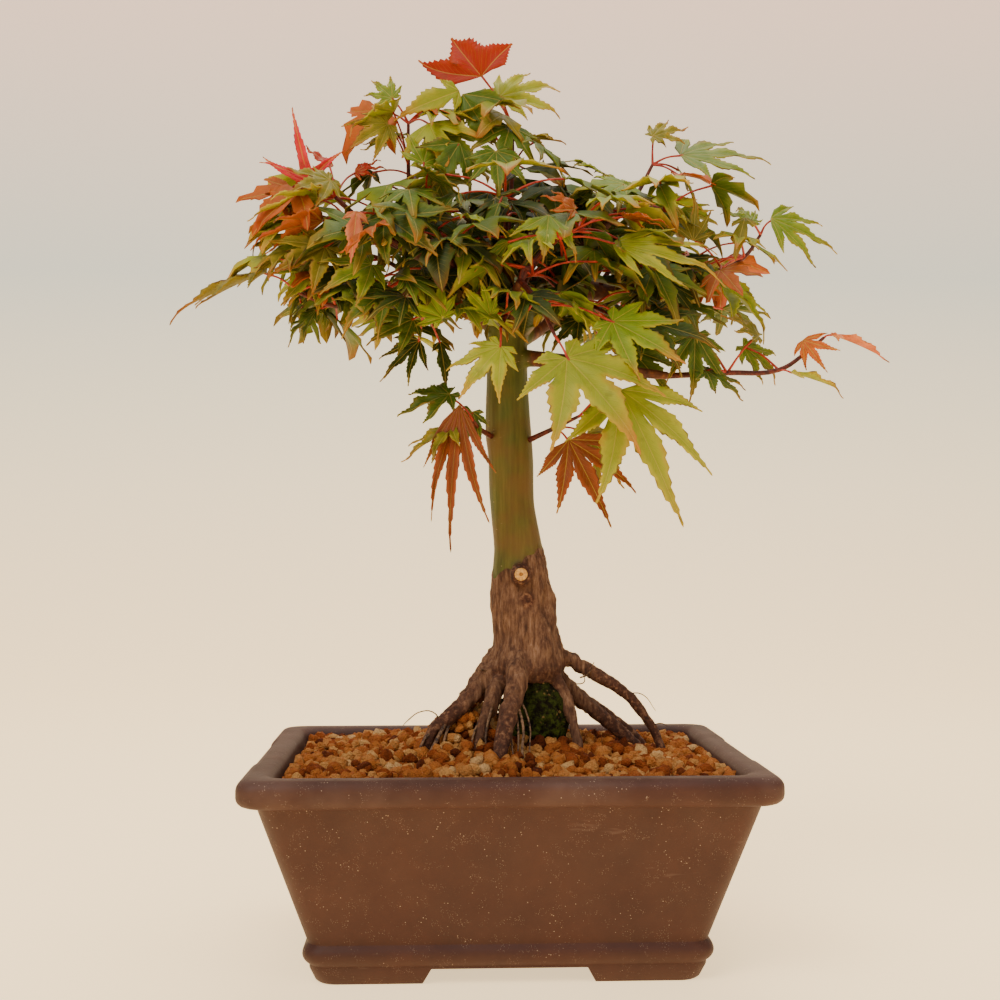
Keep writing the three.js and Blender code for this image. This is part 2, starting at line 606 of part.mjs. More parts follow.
// The whole grown wood as one solid; grow thickens it to cut clearances.
function makeWood(grow) {
  const rings = TRUNK_RINGS.map(([x, y, z, radius], index) => {
    const last = index === TRUNK_RINGS.length - 1;
    const lift = (index === 0 ? -grow : 0) + (last ? grow : 0);
    const ring = [];
    for (let i = 0; i < TRUNK_SIDES; i += 1) {
      const angle = (2 * Math.PI * i) / TRUNK_SIDES;
      const reach = radius + grow;
      ring.push(new THREE.Vector3(x + reach * Math.cos(angle), y + reach * Math.sin(angle), z + lift));
    }
    return ring;
  });
  const parts = [solidOf(skinRings(rings))];
  parts.push(taperedBar(BARK_RIDGE.points, BARK_RIDGE.radii, RIDGE_FACETS, grow));
  parts.push(taperedBar(CUT_STUB.points, CUT_STUB.radii, STUB_FACETS, grow));
  for (const root of Object.values(ROOTS)) {
    parts.push(taperedBar(root.points, root.radii, ROOT_FACETS, grow));
  }
  for (const limb of Object.values(LIMBS)) {
    parts.push(taperedBar(limb.points, limb.radii, LIMB_FACETS, grow));
  }
  return joined(parts).translate(0, 0, TREE_LIFT);
}

// ---------------------------------------------------------------- leaves

// Five lobes: angle from the middle one, length and half-width as shares of it.
const LOBES = [
  { angle: 82, length: 0.52, half: 0.085 },
  { angle: 42, length: 0.86, half: 0.125 },
  { angle: 0, length: 1, half: 0.14 },
  { angle: -42, length: 0.86, half: 0.125 },
  { angle: -82, length: 0.52, half: 0.085 },
];
const NOTCH = 0.3;               // depth of the cuts between lobes, from the base
const DROOP = 0.16;              // how far a lobe's end falls below the blade's plane
const DROOP_SAVED = 0.45;        // share of that fall which the middle lobe is spared
const BULGE_AT = 0.48;           // widest place along a lobe
const HEEL = 0.04;               // how far a blade reaches back past its stalk
const LOBE_ROOM = 0.9;           // a lobe's half-width, at most, as a share of the way to its neighbour
const SPARE_ROOM = 0.99;         // the same with the clearance round it
const EDGE_CLEARANCE = 1.6;      // clearance at a blade's pointed ends, as a multiple of the gap

// The axes of a blade: along its middle lobe, out of its upper side, and across it.
function bladeFrame(base, tip, facing) {
  const along = vec(tip).sub(vec(base));
  const length = along.length();
  along.normalize();
  const up = vec(facing).addScaledVector(along, -vec(facing).dot(along)).normalize();
  const across = new THREE.Vector3().crossVectors(up, along);
  return { origin: vec(base), along, up, across, length };
}

// The outline of a blade, point by point, as [forward, sideways] shares of its length. spare widens
// it all round. Each point is further round the base than the one before, so that a fan fills it.
function bladeOutline(spare, spread) {
  const outline = [];
  const put = (angle, distance, sideways) => {
    const forward = distance * Math.cos(angle) - sideways * Math.sin(angle);
    const side = distance * Math.sin(angle) + sideways * Math.cos(angle);
    outline.push([forward, side]);
  };
  LOBES.forEach((lobe, index) => {
    const angle = radians(lobe.angle * spread);
    const widest = lobe.length * BULGE_AT;
    const bulge = (neighbour) => {
      const room = widest * Math.tan(radians(Math.abs(lobe.angle - neighbour.angle) * spread) / 2);
      return Math.min(Math.min(lobe.half, room * LOBE_ROOM) + spare, room * SPARE_ROOM);
    };
    if (index > 0) {
      put(angle, widest, bulge(LOBES[index - 1]));
    }
    put(angle, lobe.length + spare, spare);
    if (spare > 0) {
      put(angle, lobe.length + spare, -spare);
    }
    if (index + 1 < LOBES.length) {
      const next = LOBES[index + 1];
      put(angle, widest, -bulge(next));
      put(radians(((lobe.angle + next.angle) / 2) * spread), NOTCH + spare, 0);
    }
  });
  outline.push([-HEEL - spare, 0]);
  return outline;
}

// A blade as a closed lens with a sharp edge. grow thickens it all over, to cut clearances.
function makeBlade(base, tip, facing, spread, grow) {
  const { origin, along, up, across, length } = bladeFrame(base, tip, facing);
  const place = ([forward, side], lift) => {
    const reach = Math.hypot(forward, side);
    const fall = DROOP * length * reach * (reach - forward * DROOP_SAVED);
    return origin.clone()
      .addScaledVector(along, forward * length)
      .addScaledVector(across, side * length)
      .addScaledVector(up, lift - fall);
  };
  const outline = bladeOutline((grow * EDGE_CLEARANCE) / length, spread);
  const count = outline.length;
  const half = LEAF_THICKNESS / 2 + grow;
  const points = [place([0, 0], half), place([0, 0], -half), ...outline.map((p) => place(p, grow))];
  if (grow > 0) {
    points.push(...outline.map((p) => place(p, -grow)));
  }
  const upper = 2;
  const lower = grow > 0 ? upper + count : upper;
  const faces = [];
  for (let i = 0; i < count; i += 1) {
    const j = (i + 1) % count;
    faces.push(0, upper + j, upper + i);
    faces.push(1, lower + i, lower + j);
    if (grow > 0) {
      faces.push(upper + i, upper + j, lower + j, upper + i, lower + j, lower + i);
    }
  }
  const geometry = new THREE.BufferGeometry().setFromPoints(points);
  geometry.setIndex(faces);
  return solidOf(geometry);
}

// One shoot: its twig, with a stalk and a blade for each leaf.
function makeShoot(shoot, grow) {
  const twigRadii = [TWIG_BASE_RADIUS, TWIG_TIP_RADIUS];
  const parts = [taperedBar(shoot.twig, twigRadii, [TWIG_SIDES, shoot.twig.length], grow)];
  for (const [index, base, tip, facing, spread = 1] of shoot.leaves) {
    const start = vec(shoot.twig[index]);
    const end = vec(base);
    const bend = start.clone().lerp(end, 0.5);
    bend.z += start.distanceTo(end) * STALK_ARCH;
    const heel = vec(base).lerp(vec(tip), STALK_INTO_BLADE);
    const stalk = [start.toArray(), bend.toArray(), heel.toArray()];
    parts.push(taperedBar(stalk, [PETIOLE_RADIUS, PETIOLE_RADIUS], STALK_FACETS, grow));
    parts.push(makeBlade(base, tip, facing, spread, grow));
  }
  return joined(parts).translate(0, 0, TREE_LIFT);
}

// ---------------------------------------------------------------- infill shoots

// Where infill twigs may leave the limbs: every point of a limb but its first.
const limbAnchors = () => Object.values(LIMBS).flatMap((limb) => limb.points.slice(1)).map(vec);

// Shoots that fill the crown between the placed ones, spread by the golden angle.
function infillShoots() {
  const random = makeRandom(INFILL_SEED);
  const drawn = ([least, range]) => least + range * random();
  const anchors = limbAnchors();
  const shoots = [];
  for (let k = 0; k < INFILL_SHOOTS; k += 1) {
    const azimuth = radians(k * GOLDEN_ANGLE);
    const rise = INFILL_LOWEST + ((INFILL_HIGHEST - INFILL_LOWEST) * (k + 0.5)) / INFILL_SHOOTS;
    const level = Math.sqrt(1 - rise * rise);
    const outward = [level * Math.cos(azimuth), level * Math.sin(azimuth), rise];
    const reach = drawn([outward[1] < INFILL_FRONT ? INFILL_REACH_FRONT : INFILL_REACH, INFILL_REACH_RANGE]);
    const tip = vec(outward.map((share, axis) => CROWN_CENTRE[axis] + share * CROWN_RADII[axis] * reach));
    const anchor = anchors.reduce((best, p) => (p.distanceTo(tip) < best.distanceTo(tip) ? p : best));
    const bend = anchor.clone().lerp(tip, 0.5);
    bend.z += INFILL_ARCH;
    const heading = Math.atan2(tip.y - anchor.y, tip.x - anchor.x);
    const leaves = INFILL_TURNS.map((turn) => {
      const direction = heading + turn + INFILL_TURN_RANGE * (random() - 0.5);
      const stalk = drawn(INFILL_STALK);
      const size = INFILL_LEAF * drawn(INFILL_SIZE);
      const pitch = drawn(INFILL_PITCH);
      const run = size * Math.cos(pitch);
      const [east, north] = [Math.cos(direction), Math.sin(direction)];
      const base = tip.clone().add(vec([stalk * east, stalk * north, drawn(INFILL_LIFT)]));
      const end = base.clone().add(vec([run * east, run * north, -size * Math.sin(pitch)]));
      return [2, base.toArray(), end.toArray(), UP];
    });
    shoots.push({
      name: `infill_${String(k + 1).padStart(2, '0')}`,
      tint: INFILL_TINTS[k % INFILL_TINTS.length],
      twig: [anchor.toArray(), bend.toArray(), tip.toArray()],
      leaves,
    });
  }
  return shoots;
}

// ---------------------------------------------------------------- assembly

const tree = new THREE.Group();

function addPiece(name, geometry, material) {
  const mesh = new THREE.Mesh(geometry, material);
  mesh.name = name;
  tree.add(mesh);
}

addPiece('pot', geometryOf(makePot()), CLAY);

addPiece('drain_screen_left', geometryOf(makeScreen(-1)), MESH_PLASTIC);
addPiece('drain_screen_right', geometryOf(makeScreen(1)), MESH_PLASTIC);

// Roots that would reach the pot's wall end just inside it.
const potRoom = potOutside().subtract(potHollow(GAP));
const wood = makeWood(0).subtract(potRoom);
const woodRoom = makeWood(GAP);
addPiece('trunk_and_roots', largestShell(wood), BARK);

addPiece('moss_ball', largestShell(makeMoss(0).subtract(woodRoom)), MOSS);

const buried = joined([woodRoom, makeMoss(GAP), screenBlock(-1, GAP), screenBlock(1, GAP)]);
const soil = potHollow(GAP).intersect(soilBlock()).subtract(buried);
addPiece('soil_bed', largestShell(soil), AKADAMA);

// Each shoot is trimmed where an earlier one already takes the space.
const rooms = [woodRoom];
for (const shoot of [...PLACED_SHOOTS, ...infillShoots()]) {
  let solid = makeShoot(shoot, 0);
  for (const room of rooms) {
    solid = solid.subtract(room);
  }
  const geometry = largestShell(solid);
  addPiece(`shoot_${shoot.name}`, geometry, LEAF_PAINTS[shoot.tint]);
  rooms.push(makeShoot(shoot, GAP));
}

// The origin lies on the standing plane, under the middle of the outline.
const outline = new THREE.Box3().setFromObject(tree);
const middle = outline.getCenter(new THREE.Vector3());
tree.position.set(-middle.x, -middle.y, -outline.min.z);
tree.updateMatrixWorld(true);

export default tree;
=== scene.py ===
"""Japanese maple bonsai in an unglazed rectangular pot.

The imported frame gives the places. Sizes here are millimetres in the pot's own frame, with the
pot's middle at x = y = 0 and its feet on z = 0, and place() turns them into metres of the row.
"""

import logging
import math
import random
from dataclasses import dataclass
from enum import Enum
from typing import Any, Callable, Iterable, Sequence

import bpy
import numpy as np
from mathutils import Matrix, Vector, noise


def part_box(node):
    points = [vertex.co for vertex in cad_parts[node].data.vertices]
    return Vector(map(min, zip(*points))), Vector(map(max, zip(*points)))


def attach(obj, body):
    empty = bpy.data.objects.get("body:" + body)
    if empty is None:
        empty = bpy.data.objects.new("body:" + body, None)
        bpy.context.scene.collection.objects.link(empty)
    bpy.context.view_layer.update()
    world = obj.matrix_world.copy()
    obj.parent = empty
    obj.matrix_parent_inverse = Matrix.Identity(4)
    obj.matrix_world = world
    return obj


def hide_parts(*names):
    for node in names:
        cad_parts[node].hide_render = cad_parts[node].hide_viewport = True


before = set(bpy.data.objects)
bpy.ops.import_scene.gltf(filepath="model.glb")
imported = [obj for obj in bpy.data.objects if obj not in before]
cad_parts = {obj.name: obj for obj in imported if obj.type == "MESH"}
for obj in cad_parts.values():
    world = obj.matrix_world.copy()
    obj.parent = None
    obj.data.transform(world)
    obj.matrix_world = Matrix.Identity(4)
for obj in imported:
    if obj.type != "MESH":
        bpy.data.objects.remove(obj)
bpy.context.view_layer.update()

logging.basicConfig(level=logging.INFO, format="%(message)s")
LOG = logging.getLogger("maple")

MM = 0.001
POT_LOW, POT_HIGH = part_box("pot")
POT_ORIGIN = Vector(((POT_LOW[0] + POT_HIGH[0]) / 2, (POT_LOW[1] + POT_HIGH[1]) / 2, POT_LOW[2]))

Point = Sequence[float]
Colour = tuple[float, float, float]


def place(point: Point) -> Vector:
    """Turns a point of the pot's frame in millimetres into the row's frame in metres."""
    return POT_ORIGIN + Vector(point) * MM


def colour(code: str) -> Colour:
    """Turns a six-digit colour code into linear red, green and blue."""
    parts = [int(code[i:i + 2], 16) / 255 for i in (0, 2, 4)]
    return tuple(c / 12.92 if c <= 0.04045 else ((c + 0.055) / 1.055) ** 2.4 for c in parts)


def smooth(low: float, high: float, value: np.ndarray | float) -> np.ndarray | float:
    """Rises smoothly from 0 at low to 1 at high."""
    t = np.clip((value - low) / (high - low), 0.0, 1.0)
    return t * t * (3 - 2 * t)


# ---------------------------------------------------------------- working at the bench


def put_down() -> None:
    """Leaves edit mode and deselects everything."""
    if bpy.context.object and bpy.context.object.mode != "OBJECT":
        bpy.ops.object.mode_set(mode="OBJECT")
    bpy.ops.object.select_all(action="DESELECT")


def pick_up(*objects: bpy.types.Object) -> None:
    """Selects these objects alone, the first one active.

    Args:
        objects: The objects, the active one first.
    """
    put_down()
    for obj in objects:
        obj.select_set(True)
    bpy.context.view_layer.objects.active = objects[0]


def named(name: str) -> bpy.types.Object:
    """Names the object just added, and its mesh.

    Args:
        name: The piece's name.

    Returns:
        The active object.
    """
    obj = bpy.context.object
    obj.name = name
    obj.data.name = name
    return obj


def modify(obj: bpy.types.Object, kind: str, **settings: Any) -> None:
    """Adds a modifier to a mesh and applies it.

    Args:
        obj: The mesh object.
        kind: The modifier's type.
        **settings: Values set on it.
    """
    pick_up(obj)
    modifier = obj.modifiers.new(kind.title(), kind)
    for key, value in settings.items():
        setattr(modifier, key, value)
    bpy.ops.object.modifier_apply(modifier=modifier.name)


def join(objects: Sequence[bpy.types.Object], name: str) -> bpy.types.Object:
    """Joins objects into the first one.

    Args:
        objects: The mesh objects.
        name: The result's name.

    Returns:
        The joined object.
    """
    pick_up(*objects)
    if len(objects) > 1:
        bpy.ops.object.join()
    return named(name)


def settle(obj: bpy.types.Object) -> None:
    """Puts an object's place, turn and scale into its mesh."""
    pick_up(obj)
    bpy.ops.object.transform_apply(location=True, rotation=True, scale=True)


def coordinates(mesh: bpy.types.Mesh) -> np.ndarray:
    """Gives a mesh's points as an array of rows.

    Args:
        mesh: The mesh.

    Returns:
        One row of three numbers for each point.
    """
    points = np.empty(len(mesh.vertices) * 3)
    mesh.vertices.foreach_get("co", points)
    return points.reshape(-1, 3)


def set_coordinates(mesh: bpy.types.Mesh, points: np.ndarray) -> None:
    """Moves a mesh's points to the rows of an array."""
    mesh.vertices.foreach_set("co", np.ascontiguousarray(points, dtype=np.float64).ravel())
    mesh.update()


def set_attribute(mesh: bpy.types.Mesh, name: str, rows: np.ndarray) -> None:
    """Stores a vector for each point of a mesh, for a material to read."""
    layer = mesh.attributes.get(name) or mesh.attributes.new(name, "FLOAT_VECTOR", "POINT")
    layer.data.foreach_set("vector", np.ascontiguousarray(rows, dtype=np.float32).ravel())


def tubes(name: str, lines: Iterable[tuple[Sequence[Point], Sequence[float]]], sides: int = 4,
          steps: int = 4) -> bpy.types.Object:
    """Makes round tapering bars along smooth lines, as one mesh.

    Args:
        name: The object's name.
        lines: Each line's points and the radius at each point, in millimetres.
        sides: A quarter turn's facets, as a curve's bevel counts them.
        steps: Lengths between two points.

    Returns:
        The mesh object.
    """
    curve = bpy.data.curves.new(name, "CURVE")
    curve.dimensions = "3D"
    curve.bevel_depth = MM
    curve.bevel_resolution = sides
    curve.resolution_u = steps
    curve.use_fill_caps = True
    for points, radii in lines:
        spline = curve.splines.new("BEZIER")
        spline.bezier_points.add(len(points) - 1)
        for knot, point, radius in zip(spline.bezier_points, points, radii):
            knot.co = place(point)
            knot.radius = radius
            knot.handle_left_type = knot.handle_right_type = "AUTO"
    obj = bpy.data.objects.new(name, curve)
    bpy.context.collection.objects.link(obj)
    pick_up(obj)
    bpy.ops.object.convert(target="MESH")
    return named(name)


def even_radii(ends: Sequence[float], count: int) -> list[float]:
    """Gives radii that go evenly from the first of ends to the last."""
    return [ends[0] + (ends[1] - ends[0]) * i / (count - 1) for i in range(count)]


def hand_over(piece: bpy.types.Object, slot: str, *nodes: str) -> None:
    """Fixes a finished piece to the frame and logs it.

    Args:
        piece: The finished piece.
        slot: A material slot's name; not used.
        *nodes: The CAD nodes that it stands for.
    """
    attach(piece, "root")
    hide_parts(*nodes)
    LOG.info("%s: %d faces", piece.name, len(piece.data.polygons))


# ---------------------------------------------------------------- finishes


class Signal:
    """A shader value that arithmetic builds Math nodes on."""

    def __init__(self, graph: "Graph", socket: bpy.types.NodeSocket) -> None:
        """Wraps a socket of a graph."""
        self.graph = graph
        self.socket = socket

    def math(self, operation: str, *others: Any, clamp: bool = False) -> "Signal":
        """Adds a Math node with this value first, and the others after it."""
        settings = {"operation": operation, "use_clamp": clamp}
        return self.graph.node("ShaderNodeMath", settings, dict(enumerate((self, *others))))

    def __add__(self, other: Any) -> "Signal":
        """Adds."""
        return self.math("ADD", other)

    __radd__ = __add__

    def __mul__(self, other: Any) -> "Signal":
        """Multiplies."""
        return self.math("MULTIPLY", other)

    __rmul__ = __mul__

    def __sub__(self, other: Any) -> "Signal":
        """Subtracts."""
        return self.math("SUBTRACT", other)

    def __rsub__(self, other: float) -> "Signal":
        """Subtracts this from a number."""
        return self.math("MULTIPLY", -1.0) + other

    def __truediv__(self, other: Any) -> "Signal":
        """Divides."""
        return self.math("DIVIDE", other)

    def rise(self, low: float, high: float) -> "Signal":
        """Rises smoothly.

        Args:
            low: Where it is 0, which may be the larger of the two.
            high: Where it is 1.

        Returns:
            The risen value.
        """
        settings = {"interpolation_type": "SMOOTHSTEP"}
        if low < high:
            return self.graph.node("ShaderNodeMapRange", settings, {0: self, 1: low, 2: high})
        return 1 - self.graph.node("ShaderNodeMapRange", settings, {0: self, 1: high, 2: low})


class Graph:
    """A material under construction."""

    def __init__(self, name: str, **constants: Any) -> None:
        """Starts a material.

        Args:
            name: The finish's name.
            **constants: Values that are the same all over, by socket name with _ for a space.
        """
        self.material = bpy.data.materials.new(name)
        self.material.use_nodes = True
        self.tree = self.material.node_tree
        self.tree.nodes.clear()
        self.shader = self.tree.nodes.new("ShaderNodeBsdfPrincipled")
        output = self.tree.nodes.new("ShaderNodeOutputMaterial")
        self.tree.links.new(self.shader.outputs[0], output.inputs["Surface"])
        for key, value in constants.items():
            self.shader.inputs[key.replace("_", " ")].default_value = value

    def node(self, kind: str, settings: dict[str, Any] | None = None,
             inputs: dict[Any, Any] | None = None, output: Any = 0) -> Signal:
        """Adds any node.

        Args:
            kind: The node's type.
            settings: Its properties; stops gives a ramp's places and colours.
            inputs: Its sockets' values or links.
            output: Which result is wanted.

        Returns:
            That result.
        """
        new = self.tree.nodes.new(kind)
        for key, value in (settings or {}).items():
            if key == "stops":
                elements = new.color_ramp.elements
                while len(elements) < len(value):
                    elements.new(0.5)
                for element, (where, tint) in zip(elements, value):
                    element.position = where
                    element.color = (*tint, 1.0)
            else:
                setattr(new, key, value)
        for key, value in (inputs or {}).items():
            if isinstance(value, Signal):
                self.tree.links.new(value.socket, new.inputs[key])
            else:
                new.inputs[key].default_value = value
        return Signal(self, new.outputs[output])

    def place(self, stretch: Point = (1, 1, 1)) -> Signal:
        """Gives Object coordinates in metres, stretched along the axes.

        Args:
            stretch: Factors along X, Y and Z.

        Returns:
            The coordinates.
        """
        here = self.node("ShaderNodeTexCoord", output="Object")
        if tuple(stretch) == (1, 1, 1):
            return here
        return self.node("ShaderNodeMapping", inputs={"Vector": here, "Scale": tuple(stretch)})

    def height(self) -> Signal:
        """Gives the height over the standing plane, in metres."""
        return self.node("ShaderNodeSeparateXYZ", inputs={0: self.place()}, output=2)

    def noise(self, scale: float, detail: float = 3.0, rough: float = 0.55,
              stretch: Point = (1, 1, 1)) -> Signal:
        """Gives smooth noise around a half, at so many waves a metre."""
        values = {"Vector": self.place(stretch), "Scale": scale, "Detail": detail, "Roughness": rough}
        return self.node("ShaderNodeTexNoise", inputs=values)

    def cells(self, scale: float, stretch: Point = (1, 1, 1)) -> Signal:
        """Gives the distance to the nearest of scattered points."""
        return self.node("ShaderNodeTexVoronoi", inputs={"Vector": self.place(stretch), "Scale": scale})

    def mix(self, first: Any, second: Any, share: Any) -> Signal:
        """Mixes two colours, each a colour or a signal."""
        ends = [tint if isinstance(tint, Signal) else (*tint, 1.0) for tint in (first, second)]
        return self.node("ShaderNodeMix", {"data_type": "RGBA"}, {0: share, 6: ends[0], 7: ends[1]}, 2)

    def ramp(self, value: Any, *stops: tuple[float, Colour]) -> Signal:
        """Turns a value into colours through a ramp."""
        return self.node("ShaderNodeValToRGB", {"stops": stops}, {0: value})

    def attribute(self, name: str, output: str = "Vector") -> Signal:
        """Gives an attribute stored on the mesh."""
        return self.node("ShaderNodeAttribute", {"attribute_name": name}, output=output)

    def axes(self, name: str) -> list[Signal]:
        """Gives the three numbers of a stored vector."""
        stored = self.attribute(name)
        return [self.node("ShaderNodeSeparateXYZ", inputs={0: stored}, output=i) for i in range(3)]

    def finish(self, tint: Signal, rough: Any = None, relief: Signal | None = None,
               depth: float = 0.0002, strength: float = 0.6) -> bpy.types.Material:
        """Links the results to the shader.

        Args:
            tint: The base colour.
            rough: The roughness.
            relief: The height that makes the bump.
            depth: The bump's depth in metres.
            strength: The bump's strength.

        Returns:
            The material.
        """
        self.tree.links.new(tint.socket, self.shader.inputs["Base Color"])
        if rough is not None:
            self.tree.links.new(rough.socket, self.shader.inputs["Roughness"])
        if relief is not None:
            bump = self.node("ShaderNodeBump", inputs={"Strength": strength, "Distance": depth,
                                                       "Height": relief})
            self.tree.links.new(bump.socket, self.shader.inputs["Normal"])
        return self.material


@dataclass(frozen=True)
class UnglazedClay:
    """Dark reddish-brown fired clay with pale grit and scuffs, and a painted greyish sheen on the rim."""

    dark: Colour = colour("3b1d14")
    light: Colour = colour("47261b")
    grit: Colour = colour("b39c86")
    # greyish colour of the real scuffs, and of the painted sheen on the rim
    sheen_and_scuff: Colour = colour("8a7064")

    def material(self) -> bpy.types.Material:
        """Makes the finish.

        Returns:
            The material.
        """
        g = Graph("unglazed_clay", Specular_IOR_Level=0.35)
        body = g.mix(self.dark, self.light, g.noise(60, 5, 0.65).rise(0.25, 0.8))
        fleck = g.cells(800).rise(0.14, 0.07) * g.noise(190, 2).rise(0.54, 0.64)
        fine = g.cells(2300).rise(0.24, 0.12) * g.noise(300, 2).rise(0.5, 0.64) * 0.6
        scuff = g.noise(30, 3, 0.7, (1, 1, 5)).rise(0.66, 0.74) * g.noise(900, 2, 0.8, (0.25, 1, 1))
        rim = g.height().rise(0.0515, 0.0535)
        # painted sheen: greyish patches over the rim band, added to the real scuffs over the whole pot
        sheen_and_scuff = rim * g.noise(26, 4, 0.6).rise(0.5, 0.75) * 0.16 + scuff * 0.4
        tint = g.mix(body, self.sheen_and_scuff, sheen_and_scuff)
        tint = g.mix(tint, self.grit, (fleck + fine * 0.8).math("MINIMUM", 0.85))
        relief = g.noise(420, 4) * 0.6 + g.noise(1900, 3) * 0.4 + fleck * 0.3
        return g.finish(tint, 0.5 + g.noise(70, 4) * 0.24, relief, 0.00028, 0.5)


@dataclass(frozen=True)
class Akadama:
    """Granular fired soil, each grain with its own shade."""

    shades: tuple[str, ...] = ("5c280f", "984a1e", "bc7034", "d49a58", "e0b278")

    def material(self) -> bpy.types.Material:
        """Makes the finish.

        Returns:
            The material.
        """
        g = Graph("akadama_grains", Specular_IOR_Level=0.15)
        shade = g.axes("grain")[0] + (g.noise(420, 3) - 0.5) * 0.35
        stops = [(i / (len(self.shades) - 1), colour(c)) for i, c in enumerate(self.shades)]
        relief = g.noise(900, 6, 0.75) + g.cells(1700) * 0.5
        tint = g.mix(g.ramp(shade, *stops), colour("3d1a07"), g.noise(1500, 3).rise(0.55, 0.75) * 0.45)
        return g.finish(tint, 0.86 + g.noise(200, 2) * 0.12, relief, 0.0014, 1.0)


@dataclass(frozen=True)
class MapleBark:
    """Smooth olive bark over rough old bark, with darker roots and limbs, and painted shade round the trunk's
    foot.
    """

    def smooth_bark(self, g: Graph) -> Signal:
        """Gives the trunk's olive bark with its fine streaks and pale pores.

        Args:
            g: The material under construction.

        Returns:
            Its colour.
        """
        streaks = g.noise(620, 4, 0.6, (1, 1, 0.07))
        olive = g.ramp(streaks, (0.25, colour("383c14")), (0.5, colour("50561d")), (0.78, colour("6c6c2c")))
        olive = g.mix(olive, colour("6a4a24"), g.noise(38, 3).rise(0.46, 0.68) * 0.75)
        pores = g.cells(330, (1, 1, 3.2)).rise(0.16, 0.07) * g.noise(60, 2).rise(0.52, 0.6)
        return g.mix(olive, colour("b79a6a"), pores * 0.7)

    def old_bark(self, g: Graph) -> Signal:
        """Gives the rough grey-brown bark of the base.

        Args:
            g: The material under construction.

        Returns:
            Its colour.
        """
        fibres = g.noise(760, 6, 0.72, (1, 1, 0.2)) * 0.75 + g.noise(190, 4) * 0.25
        return g.ramp(fibres, (0.3, colour("1f110b")), (0.45, colour("523526")),
                      (0.58, colour("7c5a42")), (0.78, colour("b4927a")))

    def material(self) -> bpy.types.Material:
        """Makes the finish.

        Returns:
            The material.
        """
        g = Graph("maple_bark", Specular_IOR_Level=0.3)
        old, root, limb = g.axes("zone")
        rough = g.noise(300, 4)
        roots = g.ramp(g.noise(700, 5, 0.65), (0.3, colour("1b0e09")), (0.52, colour("4a291c")),
                       (0.72, colour("946a4c")))
        limbs = g.ramp(g.noise(500, 4), (0.3, colour("3c2019")), (0.6, colour("6d3f28")),
                       (0.82, colour("a5642e")))
        tint = g.mix(self.smooth_bark(g), limbs, limb)
        tint = g.mix(tint, self.old_bark(g), (old + (rough - 0.5) * 0.5).rise(0.4, 0.6))
        # the root share also carries the painted shade at the trunk's foot
        tint = g.mix(tint, roots, root)
        relief = g.noise(900, 5, 0.7, (1, 1, 0.22)) * (old * 0.85 + 0.15) + g.noise(1500, 3) * 0.2
        return g.finish(tint, 0.5 + rough * 0.2 + old * 0.22, relief, 0.0007, 0.75)


@dataclass(frozen=True)
class PlainGrowth:
    """A soft natural finish between two colours."""

    name: str
    dark: Colour
    light: Colour
    scale: float = 500.0
    roughness: float = 0.6

    def material(self) -> bpy.types.Material:
        """Makes the finish.

        Returns:
            The material.
        """
        g = Graph(self.name, Specular_IOR_Level=0.3, Roughness=self.roughness)
        pattern = g.noise(self.scale, 4)
        return g.finish(g.mix(self.dark, self.light, pattern.rise(0.35, 0.68)), None, pattern, 0.0004, 0.6)


@dataclass(frozen=True)
class MossAndPeat:
    """Dark moss over peat, greener towards its foot, with pale crumbs."""

    peat: Colour = colour("140e08")
    green: Colour = colour("46521a")
    crumb: Colour = colour("a3824f")

    def material(self) -> bpy.types.Material:
        """Makes the finish.

        Returns:
            The material.
        """
        g = Graph("moss_and_peat", Specular_IOR_Level=0.1, Roughness=0.95)
        patch = g.noise(430, 5, 0.7)
        low = g.height().rise(0.086, 0.058) * 0.7 + 0.3
        tint = g.mix(self.peat, self.green, patch.rise(0.42, 0.62) * low)
        crumbs = g.cells(520).rise(0.34, 0.16) * g.noise(240, 3).rise(0.5, 0.6)
        return g.finish(g.mix(tint, self.crumb, crumbs * 0.7), None, patch + crumbs * 0.5, 0.0012, 0.9)


@dataclass(frozen=True)
class MapleLeaf:
    """A thin leaf whose colour and veins follow its own stored shape."""

    def material(self) -> bpy.types.Material:
        """Makes the finish.

        Returns:
            The material.
        """
        g = Graph("maple_leaf", Specular_IOR_Level=0.2, Subsurface_Weight=0.12, Subsurface_Scale=0.001)
        g.shader.inputs["Subsurface Radius"].default_value = (0.9, 0.8, 0.25)
        across, along, edge = g.axes("vein")
        tone = g.attribute("tone", "Color")
        midrib = across.rise(0.26, 0.06)
        wave = ((along - across * 1.3) / 2.1).math("FRACT")
        side = (wave - 0.5).math("ABSOLUTE").rise(0.42, 0.49) * edge.rise(0.9, 0.4)
        light = g.mix(tone, colour("c2a548"), midrib * 0.42 + side * 0.14)
        mottle = g.noise(240, 5, 0.65)
        shaded = g.mix(light, colour("3a370c"), mottle.rise(0.5, 0.78) * 0.35)
        rusty = edge.rise(0.5, 0.95) * g.noise(95, 4).rise(0.46, 0.62)
        burnt = edge.rise(0.8, 1.0) * g.noise(160, 3).rise(0.52, 0.62)
        tint = g.mix(g.mix(shaded, colour("a4501c"), rusty * 0.33), colour("46200e"), burnt * 0.8)
        relief = 0.5 * mottle - midrib * 0.5 - side * 0.4
        return g.finish(tint, 0.4 + mottle * 0.22, relief, 0.0003, 0.6)


